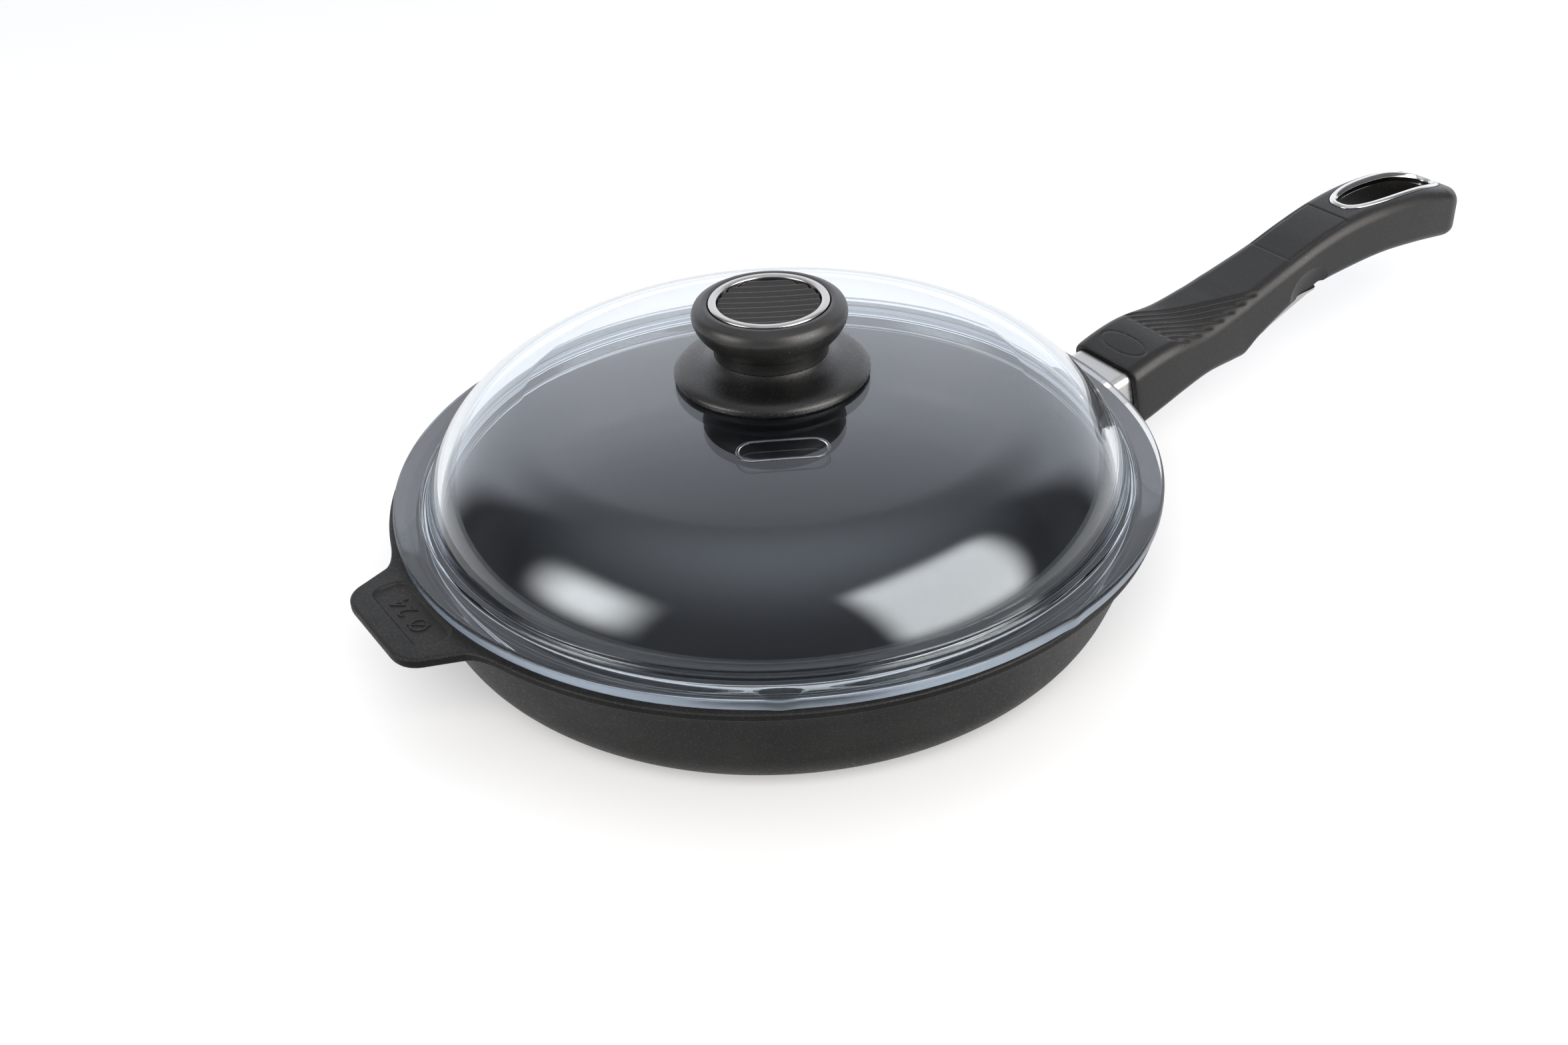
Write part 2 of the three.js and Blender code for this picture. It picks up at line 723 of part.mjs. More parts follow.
function handleShell(form) {
  const sleeveLength = loopHalfLength - loopLipWidth + loopWall + fitGap;
  const sleeveWidth = loopHalfWidth - loopLipWidth + loopWall + fitGap;
  const lip = loopBar(loopHalfLength + fitGap, loopHalfWidth + fitGap);
  const lipSeat = lip.intersect(topLayer(form, overcut, loopLipThickness - loopLipProud + fitGap));
  let body = form.subtract(stubForm(handleFront - overcut, stubLength + socketEndGap, fitGap));
  body = body.subtract(loopBar(sleeveLength, sleeveWidth)).subtract(lipSeat);
  body = body.subtract(leverRoom());
  const across = 2 * handleHalfWidth;
  const pinBlindEnd = leverHalfWidth + pinSeat;
  const pinRoom = pinRadius + runningGap;
  body = body.subtract(crossBar(pinRoom, pivotPlace, pivotHeight, -pinBlindEnd, across, smallFacets));
  const coilRoom = springRadius + springWire + springSideGap;
  const springRoom = roundBar(coilRoom, leverTop, springTop + seatGap, smallFacets);
  body = body.subtract(springRoom.translate([springPlace, 0, 0]));
  body = body.subtract(crossBar(scoopRadius, scoopPlace, scoopHeight, -across, across, scoopFacets));
  for (let number = 0; number < ribCount; number += 1) {
    body = body.subtract(ribGroove(number));
  }
  [-1, 1].forEach((side) => {
    const dish = new THREE.SphereGeometry(dishRadius, dishFacets, dishFacets / 2);
    dish.translate(dishPlace, side * (handleHalfAt(dishPlace) + dishRadius - dishDepth), dishHeight);
    body = body.subtract(solid(dish));
  });
  return body;
}

// Steel liner of the hanging hole: sleeve flush with the handle, lip standing a little proud
function hangingLoop(form) {
  const holeLength = loopHalfLength - loopLipWidth;
  const holeWidth = loopHalfWidth - loopLipWidth;
  const hole = loopBar(holeLength, holeWidth);
  const sleeve = loopBar(holeLength + loopWall, holeWidth + loopWall).intersect(form);
  const layer = topLayer(form, loopLipProud, loopLipThickness - loopLipProud);
  const lip = loopBar(loopHalfLength, loopHalfWidth).intersect(layer);
  return sleeve.add(lip).subtract(hole);
}

// Side outline of the lever: level under the block, then rising to a flat finger tip
function leverOutline() {
  const run = leverTip - leverBend;
  const rise = new THREE.SplineCurve([
    new THREE.Vector2(leverBend, leverUnderside),
    new THREE.Vector2(leverBend + 0.26 * run, leverUnderside + 0.34 * tipRise),
    new THREE.Vector2(leverBend + 0.6 * run, leverUnderside + 0.79 * tipRise),
    new THREE.Vector2(leverBend + 0.8 * run, leverUnderside + tipRise),
    new THREE.Vector2(leverTip, leverUnderside + 0.94 * tipRise),
  ]);
  const under = [new THREE.Vector2(leverFront, leverUnderside), ...rise.getPoints(12)];
  const over = under.map((point) => new THREE.Vector2(point.x, point.y + leverThickness)).reverse();
  return new THREE.Shape([...under, ...over]);
}

function catchLever() {
  const side = leverHalfWidth;
  const tabFrom = tabPlace - leverThickness / 2;
  const tabLow = [tabFrom, -tabHalfWidth, leverTop - leverThickness / 2];
  const tabHigh = [tabFrom + leverThickness, tabHalfWidth, -stubHalfHeight + tabGrip];
  const bore = crossBar(pinRadius + runningGap, pivotPlace, pivotHeight, -side - overcut, side + overcut, 20);
  let body = sidePrism(leverOutline(), side);
  body = body.add(crossBar(knuckleRadius, pivotPlace, pivotHeight, -side, side, 20));
  return body.add(block(tabLow, tabHigh)).subtract(bore);
}

// Pin through the knuckle, sunk a little in its open end on the +Y side
function leverPin() {
  const blind = leverHalfWidth + pinSeat - seatGap;
  const open = handleHalfWidth - bottomEdgeRadius / 4 - seatGap;
  return crossBar(pinRadius, pivotPlace, pivotHeight, -blind, open, smallFacets);
}

// Small compression spring between the handle and the lever's tail
function leverSpring() {
  const bottom = leverTop + springWire + seatGap;
  const top = springTop - springWire;
  const perTurn = 8;
  const points = [];
  for (let k = 0; k <= springTurns * perTurn; k += 1) {
    const angle = (2 * Math.PI * k) / perTurn;
    const height = THREE.MathUtils.lerp(bottom, top, k / (springTurns * perTurn));
    points.push(new THREE.Vector3(springRadius * Math.cos(angle), springRadius * Math.sin(angle), height));
  }
  return rod(points, springWire, springTurns * perTurn, 5).translate([springPlace, 0, 0]);
}

// Where the dome's crown arc hands over to its shoulder arc, measured from the axis
function domeTurn() {
  const crownCentre = domeTop - crownRadius;
  const reach = Math.hypot(domeFootRadius, flangeTop - crownCentre);
  const between = crownRadius - shoulderRadius;
  const cosine = (between ** 2 + reach ** 2 - shoulderRadius ** 2) / (2 * between * reach);
  return Math.atan2(domeFootRadius, flangeTop - crownCentre) - Math.acos(cosine);
}

// Height of the dome's outer surface near the middle of the lid
function crownHeightAt(radius) {
  return domeTop - crownRadius + Math.sqrt(crownRadius ** 2 - radius ** 2);
}

function lidGlass() {
  const turn = domeTurn();
  const crownCentre = domeTop - crownRadius;
  const centreR = (crownRadius - shoulderRadius) * Math.sin(turn);
  const centreZ = crownCentre + (crownRadius - shoulderRadius) * Math.cos(turn);
  const foot = Math.asin((flangeTop - centreZ) / shoulderRadius);
  const innerShoulder = shoulderRadius - glassThickness;
  const innerFoot = Math.asin((plugBottom - centreZ) / innerShoulder);
  const innerCrown = crownRadius - glassThickness;
  const crownStart = Math.PI / 2 - Math.asin(lidHoleRadius / crownRadius);
  const innerStart = Math.PI / 2 - Math.asin(lidHoleRadius / innerCrown);
  const shoulderStart = Math.PI / 2 - turn;
  const profile = [
    ...arc(0, crownCentre, crownRadius, crownStart, shoulderStart, 3).slice(0, -1),
    ...arc(centreR, centreZ, shoulderRadius, shoulderStart, foot, 8),
    [flangeRadius - flangeRounding, flangeTop],
    [flangeRadius, flangeTop - flangeRounding],
    [flangeRadius, flangeBottom + flangeRounding],
    [flangeRadius - flangeRounding, flangeBottom],
    [plugRadius, flangeBottom],
    [plugRadius - flangeRounding, plugBottom],
    ...arc(centreR, centreZ, innerShoulder, innerFoot, shoulderStart, 7),
    ...arc(0, crownCentre, innerCrown, shoulderStart, innerStart, 2).slice(1),
  ];
  return turned([...profile, profile[0]], largeFacets);
}

// Knob base: bell-shaped collar that stands on the glass, hollow under its skirt for the seal
function knobBase() {
  const foot = crownHeightAt(knobBaseRadius - knobSkirt) + seatGap;
  const top = domeTop + knobBaseHeight;
  const sealTop = domeTop + seatGap + knobSealThickness + seatGap;
  const bore = knobScrewRadius + fitGap;
  const rise = top - foot - knobEdge;
  const spread = knobBaseRadius - neckRadius;
  const bell = new THREE.SplineCurve([
    new THREE.Vector2(knobBaseRadius, foot + knobEdge),
    new THREE.Vector2(knobBaseRadius - 0.08 * spread, foot + knobEdge + 0.14 * rise),
    new THREE.Vector2(knobBaseRadius - 0.38 * spread, foot + knobEdge + 0.4 * rise),
    new THREE.Vector2(knobBaseRadius - 0.64 * spread, foot + knobEdge + 0.74 * rise),
    new THREE.Vector2(knobBaseRadius - 0.84 * spread, foot + knobEdge + 0.94 * rise),
    new THREE.Vector2(neckRadius, top),
  ]);
  const flank = bell.getPoints(10).map((point) => [point.x, point.y]);
  return turned([
    [bore, sealTop],
    [knobBaseRadius - knobSkirt, sealTop],
    [knobBaseRadius - knobSkirt, foot],
    [knobBaseRadius, foot],
    ...flank,
    [bore, top],
    [bore, sealTop],
  ], knobFacets);
}

// Silicone ring between the knob and the glass
function knobSeal() {
  const outer = knobBaseRadius - knobSkirt - fitGap;
  const bottom = domeTop + seatGap;
  return turnedRing(knobScrewRadius + fitGap, outer, bottom, bottom + knobSealThickness, knobFacets);
}

// Heights of the knob's stacked pieces
const gripFoot = domeTop + knobBaseHeight + seatGap;
const gripTop = gripFoot + gripHeight;
const ringSeat = gripTop - ringDepth;
const insertTop = gripTop - insertSunk;

// Knob grip: slim neck spreading into a mushroom head, with a groove for the ring and a well for the disc
function knobGrip() {
  const spread = gripRadius - neckRadius;
  const outline = new THREE.SplineCurve([
    new THREE.Vector2(neckRadius, gripFoot),
    new THREE.Vector2(neckRadius + 0.2 * spread, gripFoot + 0.16 * gripHeight),
    new THREE.Vector2(neckRadius + 0.39 * spread, gripFoot + 0.3 * gripHeight),
    new THREE.Vector2(neckRadius + 0.7 * spread, gripFoot + 0.52 * gripHeight),
    new THREE.Vector2(gripRadius, gripFoot + 0.77 * gripHeight),
    new THREE.Vector2(gripRadius - 0.3 * gripTopRounding, gripFoot + 0.92 * gripHeight),
    new THREE.Vector2(gripRadius - gripTopRounding, gripTop),
  ]);
  const flank = outline.getPoints(10).map((point) => [point.x, point.y]);
  const wellFloor = insertTop - insertThickness - seatGap;
  const nutRoom = nutRadius + runningGap;
  const nutTop = gripFoot + nutHeight + seatGap;
  return turned([
    [nutRoom, gripFoot],
    ...flank,
    [ringOuterRadius + fitGap, gripTop],
    [ringOuterRadius + fitGap, ringSeat],
    [ringInnerRadius, ringSeat],
    [ringInnerRadius, wellFloor],
    [0, wellFloor],
    [0, nutTop],
    [nutRoom, nutTop],
    [nutRoom, gripFoot],
  ], knobFacets);
}

// Steel ring with a rounded crown, seated in the grip's groove
function knobRing() {
  const foot = ringSeat + seatGap;
  const crown = (ringOuterRadius - ringInnerRadius) / 2;
  const middle = (ringOuterRadius + ringInnerRadius) / 2;
  const crownFoot = gripTop + ringProud - ringCrown;
  const dome = [];
  for (let k = 0; k <= 4; k += 1) {
    const turn = (Math.PI * k) / 4;
    dome.push([middle + crown * Math.cos(turn), crownFoot + ringCrown * Math.sin(turn)]);
  }
  return turned([[ringInnerRadius, foot], [ringOuterRadius, foot], ...dome, [ringInnerRadius, foot]], knobFacets);
}

// Disc with straight rounded ridges across it, set inside the ring
function knobInsert() {
  const radius = ringInnerRadius - fitGap;
  const bottom = insertTop - insertThickness;
  const valley = insertTop - ridgeHeight;
  const width = (2 * radius) / ridgeCount;
  const shape = new THREE.Shape();
  shape.moveTo(-radius, bottom);
  shape.lineTo(radius, bottom);
  shape.lineTo(radius, valley);
  for (let number = ridgeCount - 1; number >= 0; number -= 1) {
    const from = -radius + number * width;
    shape.quadraticCurveTo(from + width / 2, valley + 2 * ridgeHeight, from, valley);
  }
  const ridged = prism(shape, -radius, radius, 4).rotate([90, 0, 0]).rotate([0, 0, 90 + ridgeTurnDegrees]);
  return ridged.intersect(roundBar(radius, bottom - overcut, insertTop + overcut, knobFacets));
}

// Brass insert moulded into the grip, threaded for the screw
function knobNut() {
  const inner = knobScrewRadius + runningGap;
  return turnedRing(inner, nutRadius, gripFoot, gripFoot + nutHeight, smallFacets);
}

// Inner face of the glass near the screw, then the stack below it
const innerFace = crownHeightAt(innerSealRadius) - glassThickness;
const sealFoot = innerFace - seatGap - innerSealThickness;
const washerFoot = sealFoot - seatGap - washerThickness;
const screwHeadTop = washerFoot - seatGap;

// Silicone washer against the inner face of the glass
function innerSeal() {
  const inner = knobScrewRadius + fitGap;
  return turnedRing(inner, innerSealRadius, sealFoot, sealFoot + innerSealThickness, smallFacets);
}

// Steel washer under the silicone one
function screwWasher() {
  const inner = knobScrewRadius + fitGap;
  return turnedRing(inner, washerRadius, washerFoot, washerFoot + washerThickness, smallFacets);
}

// Pan-head screw with a cross recess, up through the glass into the brass insert
function knobScrew() {
  const headFoot = screwHeadTop - knobScrewHeadHeight;
  const screwTop = gripFoot + nutHeight - washerThickness;
  const body = turned([
    [0, headFoot],
    [knobScrewHeadRadius * 0.6, headFoot],
    [knobScrewHeadRadius * 0.92, headFoot + knobScrewHeadHeight * 0.35],
    [knobScrewHeadRadius, screwHeadTop],
    [knobScrewRadius, screwHeadTop],
    [knobScrewRadius, screwTop],
    [0, screwTop],
  ], smallFacets);
  const reach = knobScrewHeadRadius * 0.5;
  const depth = headFoot + knobScrewHeadHeight * 0.6;
  const low = headFoot - overcut;
  const slotAcross = block([-reach, -slotHalfWidth, low], [reach, slotHalfWidth, depth]);
  const slotAlong = block([-slotHalfWidth, -reach, low], [slotHalfWidth, reach, depth]);
  return body.subtract(slotAcross).subtract(slotAlong);
}

// Handle and stub share one tilted frame at the stub's root
function handleGroup() {
  const group = new THREE.Group();
  const form = handleForm();
  group.position.set(stubRootX, 0, stubRootZ);
  group.rotation.y = -stubTilt;
  group.add(piece('handle_stub', handleStub(), bareMetal));
  group.add(piece('stub_screw_left', stubScrew(1), bareMetal));
  group.add(piece('stub_screw_right', stubScrew(-1), bareMetal));
  group.add(piece('stub_washer_left', stubWasher(1), bareMetal));
  group.add(piece('stub_washer_right', stubWasher(-1), bareMetal));
  group.add(piece('handle_shell', handleShell(form), moulding));
  group.add(piece('hanging_loop', hangingLoop(form), polishedSteel));
  group.add(piece('catch_lever', catchLever(), polishedSteel));
  group.add(piece('lever_pin', leverPin(), bareMetal));
  group.add(piece('lever_spring', leverSpring(), bareMetal));
  return group;
}

// The lid's plug has play in the pan, and the lid rests a little towards the handle
function lidGroup() {
  const group = new THREE.Group();
  group.position.x = lidPlay;
  group.add(piece('lid_glass', lidGlass(), glass));
  group.add(piece('knob_seal', knobSeal(), silicone));
  group.add(piece('knob_base', knobBase(), moulding));
  group.add(piece('knob_grip', knobGrip(), moulding));
  group.add(piece('knob_nut', knobNut(), brass));
  group.add(piece('knob_ring', knobRing(), polishedSteel));
  group.add(piece('knob_insert', knobInsert(), moulding));
  group.add(piece('inner_seal', innerSeal(), silicone));
  group.add(piece('screw_washer', screwWasher(), bareMetal));
  group.add(piece('knob_screw', knobScrew(), bareMetal));
  return group;
}

const part = new THREE.Group();
part.name = 'frying_pan_with_lid';
part.add(piece('pan_body', panBody(), blackCoat));
part.add(handleGroup());
part.add(lidGroup());

export default part;
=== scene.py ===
import json
import math

import bmesh
import bpy
import numpy as np
from mathutils import Matrix, Vector

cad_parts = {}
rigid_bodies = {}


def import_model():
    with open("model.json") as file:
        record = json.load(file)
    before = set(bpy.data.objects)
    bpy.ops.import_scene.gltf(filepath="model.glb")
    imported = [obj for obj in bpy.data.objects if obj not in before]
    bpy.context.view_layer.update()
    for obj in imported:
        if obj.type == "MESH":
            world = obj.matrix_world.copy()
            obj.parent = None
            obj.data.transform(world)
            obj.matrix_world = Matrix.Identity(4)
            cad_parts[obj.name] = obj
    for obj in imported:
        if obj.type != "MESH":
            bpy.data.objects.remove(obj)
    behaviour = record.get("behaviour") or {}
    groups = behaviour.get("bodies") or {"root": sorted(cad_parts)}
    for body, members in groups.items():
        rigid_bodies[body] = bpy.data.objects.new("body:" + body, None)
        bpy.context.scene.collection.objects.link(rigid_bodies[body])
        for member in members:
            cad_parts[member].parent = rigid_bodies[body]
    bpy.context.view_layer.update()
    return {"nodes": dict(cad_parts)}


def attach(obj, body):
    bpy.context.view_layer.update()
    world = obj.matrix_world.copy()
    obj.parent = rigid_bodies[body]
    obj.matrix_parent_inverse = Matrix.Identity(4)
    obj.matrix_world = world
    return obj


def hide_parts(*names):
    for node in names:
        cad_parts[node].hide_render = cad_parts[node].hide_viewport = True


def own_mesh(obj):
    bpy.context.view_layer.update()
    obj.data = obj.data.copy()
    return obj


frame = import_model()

# Frying pan with a domed glass lid and a removable handle. Lengths below are in millimetres, in the frame of
# the solids: origin in the middle of the flat base, +Z up, handle along +X.
MM = 0.001

# Pan
PAN_HEIGHT = 44.8
RIM_RADIUS = 126.2
RIM_HEIGHT = 2.6
RIM_OVERHANG = 2.4
RIM_ROUNDING = 0.7
CORNER_RADIUS = 27.8
WALL_LEAN = math.radians(20)
WALL_THICKNESS = 4.4
FLOOR_THICKNESS = 8.5
INNER_CORNER_RADIUS = 20.0
LIP_DEPTH = 1.0
# Depth below the rim's top within which upward-facing faces get the lighter coat of painted light
LIT_TOP_DEPTH = 1.3

# Ear opposite the handle
EAR_REACH = 17.2
EAR_THICKNESS = 3.6
EAR_ROUNDING = 1.1
EAR_TIP_HALF_WIDTH = 13.0
EAR_SHOULDER_REACH = 10.7
EAR_SHOULDER_HALF_WIDTH = 23.6
EAR_CORNER_PULL = 2.4
EAR_ROOT_REACH = 1.3
EAR_ROOT_HALF_WIDTH = 27.3
EAR_FLARE_HALF_WIDTH = 40.0
EAR_FLARE_REACH = 12.0
PANEL_HALF_WIDTH = 18.8
PANEL_LENGTH = 12.9
PANEL_OVERLAP = 2.4
PANEL_CORNER = 5.0
PANEL_DEPTH = 0.9
NUMBER_SIZE = 8.6
NUMBER_RISE = 0.28
NUMBER_EDGE = 0.1

# Stub, in the handle's frame: x along the stub from its root, y across, z square to both
STUB_TILT = math.radians(12)
STUB_ROOT = (RIM_RADIUS + 3.6, PAN_HEIGHT - 16.3)
STUB_HALF_WIDTH = 14.0
STUB_HALF_HEIGHT = 7.5
STUB_EDGE_RADIUS = 3.0
STUB_LENGTH = 58.0
STUB_TOP_TAPER = 2.9
LUG_DEPTH = 15.0
LUG_WALL = 2.2
LUG_POCKET = 3.0
SCREW_SPREAD = 8.0
SCREW_HEIGHT = -1.45
SCREW_RADIUS = 2.5
SCREW_HEAD_RADIUS = 4.2
SCREW_SEAT = 6.5
SCREW_GAP = 0.3
NOTCH = (50.7, 53.3)
NOTCH_HALF_WIDTH = 4.3
NOTCH_DEPTH = 2.3

# Handle stations: top point, bottom point and half width, from the mouth to the start of the rounded end
HANDLE_FRONT = 17.8
HANDLE_STATIONS = [
    ((HANDLE_FRONT, 8.6), (HANDLE_FRONT, -15.2), 16.0),
    ((19.4, 9.4), (19.4, -15.7), 16.8),
    ((30.0, 10.3), (30.0, -14.4), 17.0),
    ((40.0, 9.9), (41.0, -13.0), 16.9),
    ((54.0, 7.5), (54.0, -12.6), 16.3),
    ((68.0, 7.5), (68.0, -15.0), 15.4),
    ((74.0, 7.8), (72.4, -15.8), 15.0),
    ((78.0, 8.1), (75.4, -14.9), 14.8),
    ((84.0, 8.5), (82.5, -12.3), 14.4),
    ((101.0, 9.9), (100.0, -8.4), 13.5),
    ((118.0, 11.7), (113.0, -7.0), 13.3),
    ((135.5, 12.1), (130.0, -8.0), 13.8),
    ((154.0, 10.0), (148.0, -10.0), 14.8),
    ((173.0, 5.5), (166.0, -14.6), 15.2),
    ((186.3, -0.3), (181.8, -19.9), 15.0),
]
HANDLE_END_TOP = np.array([196.8, -7.1])
HANDLE_END_BOTTOM = np.array([192.9, -23.1])
TOP_EDGE_RADIUS = 5.0
BOTTOM_EDGE_RADIUS = 4.0
END_PLAN_RADIUS = 12.0
END_EDGE_RADIUS = 3.5
RIB_COUNT = 7
RIB_PITCH = 6.5
RIB_FRONT = 40.0
RIB_SLOPE = 0.637
RIB_DEPTH = 1.35
RIB_SHOULDER = 15.0
RIB_HOOK_FROM = 9.0
RIB_HOOK = 0.02
SCOOP_RADIUS = 3.2
SCOOP_PLACE = (115.3, -8.6)
DISH_RADIUS = 24.2
DISH_PLACE = (109.0, -7.2)
DISH_DEPTH = 2.5
DISH_HALF_WIDTH = 13.4
LABEL_FROM = 102.8
LABEL_TO = 133.2
LABEL_HALF_WIDTH = 10.1
LABEL_DEPTH = 0.15
LABEL_LINE_DEPTH = 0.35
LABEL_LINE_HALF_WIDTH = 0.45
BADGE_PLACE = 27.5
BADGE_HALF_LENGTH = 4.4
BADGE_HALF_WIDTH = 11.0
BADGE_LINE_DEPTH = 0.25
BADGE_LINE_SHARE = 0.09
SKIN_ROWS = 381
SKIN_POINTS = 210
SKIN_CROWDING = 0.09
SKIN_END_ROWS = 26
SOCKET_GAP = 0.3
SOCKET_END = 59.5

# Catch lever under the handle, with its spring and its tail
LEVER_HALF_WIDTH = 10.9
LEVER_TOP = -13.6
LEVER_FRONT = 19.6
LEVER_BEND = 79.0
PIVOT = (29.5, -12.5)
KNUCKLE_ROOM = 2.95
TAB_ROOM = (49.3, 54.9)
TAB_HALF_WIDTH = 4.6
PIN_ROOM = 1.62
PIN_BLIND_END = 12.5
SPRING_PLACE = 23.4
SPRING_RADIUS = 1.7
SPRING_WIRE = 0.35
SPRING_TURNS = 3
SPRING_TOP = -9.0
SPRING_SEAT = 0.2
TONGUE_START = 79.5
TONGUE_TIP = 114.2
TONGUE_UNDERSIDE = -15.05
TONGUE_SLOPE = 6.2 / 35
TONGUE_HALF_WIDTH = 11.3
TONGUE_SHEET = 1.0
TONGUE_ROOM = 0.35
TONGUE_SIDE_LOW = 1.45
TONGUE_SIDE_RISE = 2.4
TONGUE_RISES = (84.0, 97.0)
TONGUE_FALLS_FROM = 104.0
TONGUE_WIDENS = (80.0, 86.0)
TONGUE_BEND = 2.2
TONGUE_CORNER = 1.0

# Hanging loop
LOOP_PLACE = 165.4
LOOP_TILT = math.radians(16.5)
LOOP_HALF_LENGTH = 27.2
LOOP_HALF_WIDTH = 10.8
LOOP_ROUNDNESS = 2.6
LOOP_LIP = 3.0
LOOP_CROWN = 0.7
LOOP_SUNK = 0.8
LOOP_SEAM = 0.3
LOOP_SKIRT = 3.0
LOOP_SHEET = 0.8

# Lid
LID_SHIFT = 1.8
FLANGE_RADIUS = 126.1
FLANGE_SEAT = 44.82
FLANGE_LIFT = 0.64
FLANGE_DIP = 0.23
FLANGE_TOP = 49.3
FLANGE_EDGE_ROUNDING = 1.0
BEAD_HEIGHT = 1.6
DOME_TOP = 84.3
DOME_FOOT_RADIUS = 114.9
CROWN_RADIUS = 675.0
SHOULDER_RADIUS = 39.9
GLASS_THICKNESS = 4.5
PLUG_RADIUS = 116.2
PLUG_BOTTOM = 40.5
PLUG_EDGE = 0.8
LID_HOLE_RADIUS = 5.0
FRAME_PLACE = (-21.9, -42.0)
FRAME_TURN = math.radians(-29.4)
FRAME_HALF_LENGTH = 13.8
FRAME_HALF_WIDTH = 4.9
FRAME_LINE = 0.55
FRAME_RISE = 0.25
FRAME_GAP = 0.02
MOULD_MARKS = (-123.0, -80.3)
MARK_WIDTH = 3.2
MARK_DEPTH = 0.5

# Knob
KNOB_BASE_RADIUS = 31.6
KNOB_BASE_FOOT = 83.87
KNOB_BASE_TOP = 91.3
KNOB_EDGE = 1.5
KNOB_SKIRT = 2.4
KNOB_ROOF = 85.7
KNOB_BORE = 3.2
KNOB_FLANK = [
    (0, 0), (0.04, 0.12), (0.14, 0.28), (0.31, 0.4), (0.54, 0.5),
    (0.73, 0.6), (0.86, 0.74), (0.94, 0.87), (1, 1),
]
NECK_RADIUS = 18.4
GRIP_RADIUS = 24.85
GRIP_FOOT = 91.5
GRIP_TOP = 108.5
GRIP_TOP_ROUNDING = 3.4
NUT_BORE = 5.2
NUT_DEPTH = 9.3
RING_OUTER = 19.3
RING_INNER = 16.6
RING_TOP = 109.0
RING_FOOT = 106.5
INSERT_TOP = 108.3
INSERT_BOTTOM = 104.7
RIDGE_COUNT = 9
RIDGE_HEIGHT = 1.5
RIDGE_TURN = math.radians(-32)
DISC_GAP = 0.3
DISC_DISH = 0.45
DISC_EDGE_DROP = 0.35

# Stage: floor and lamp lengths in metres, the camera's place in millimetres, azimuths from +X towards +Y
FLOOR_HALF_WIDTH = 40.0
FLOOR_GLOW = 0.38
BACKDROP_AZIMUTH = math.radians(55)
BACKDROP_SIDES = (math.radians(66), math.radians(48))
BACKDROP_FADE = (math.radians(30), math.radians(60))
BACKDROP_LEVEL = 1.5
ROOM_LEVEL = 0.15
LAMP_COLOUR = (1.0, 0.965, 0.92)
LAMP_AIM = (0.0, 0.0, 0.06)
CAMERA_PLACE = (-277.3, -449.0, 368.0)
CAMERA_AZIMUTH = math.radians(57.99)
CAMERA_PITCH = math.radians(-32.96)
CAMERA_ROLL = math.radians(2.815)
CAMERA_LENS = 42.81


def smooth_step(low, high, value):
    """0 below low, 1 above high, with an eased rise between."""
    share = np.clip((np.asarray(value, float) - low) / (high - low), 0.0, 1.0)
    return share * share * (3.0 - 2.0 * share)


def smooth_point(points, share):
    """Point at a share of the way along the smooth curve through points."""
    points = np.asarray(points, float)
    last = len(points) - 1
    place = min(max(share, 0.0), 1.0) * last
    i = min(int(place), last - 1)
    w = place - i
    before = points[max(i - 1, 0)]
    here = points[i]
    there = points[i + 1]
    after = points[min(i + 2, last)]
    leave = (there - before) / 2
    arrive = (after - here) / 2
    cubic = 2 * here - 2 * there + leave + arrive
    square = 3 * there - 3 * here - 2 * leave - arrive
    return cubic * w ** 3 + square * w ** 2 + leave * w + here


def smooth_curve(points, steps):
    """Evenly paced points along the smooth curve through points."""
    return [smooth_point(points, k / steps) for k in range(steps + 1)]


def arc(centre_r, centre_z, radius, start, stop, steps):
    """Points of an arc, angles in radians, both ends included."""
    turns = np.linspace(start, stop, steps + 1)
    return [(centre_r + radius * math.cos(a), centre_z + radius * math.sin(a)) for a in turns]


def rounded(points, steps):
    """Outline whose inner corners (across, up, radius) are turned into arcs."""
    path = []
    for i, point in enumerate(points):
        here = np.array(point[:2], float)
        if len(point) == 2 or i in (0, len(points) - 1):
            path.append(here)
            continue
        back = np.array(points[i - 1][:2], float) - here
        ahead = np.array(points[i + 1][:2], float) - here
        back_length = np.linalg.norm(back)
        ahead_length = np.linalg.norm(ahead)
        back /= back_length
        ahead /= ahead_length
        half = math.acos(np.clip(back @ ahead, -1, 1)) / 2
        cut = min(point[2] / math.tan(half), 0.48 * back_length, 0.48 * ahead_length)
        middle = (back + ahead) / np.linalg.norm(back + ahead)
        centre = here + middle * cut / math.cos(half)
        first = here + back * cut - centre
        final = here + ahead * cut - centre
        sweep = math.pi - 2 * half
        for k in range(steps + 1):
            share = k / steps
            mix = math.sin((1 - share) * sweep) * first + math.sin(share * sweep) * final
            path.append(centre + mix / math.sin(sweep))
    return path


def run_lengths(path):
    """Length of a path of points up to each of them."""
    return np.concatenate([[0], np.cumsum(np.linalg.norm(np.diff(path, axis=0), axis=1))])


def placed(name, data):
    """New object in the scene."""
    piece = bpy.data.objects.new(name, data)
    bpy.context.scene.collection.objects.link(piece)
    return piece


def discard(piece):
    """Take an object and its mesh away."""
    mesh = piece.data
    bpy.data.objects.remove(piece)
    bpy.data.meshes.remove(mesh)


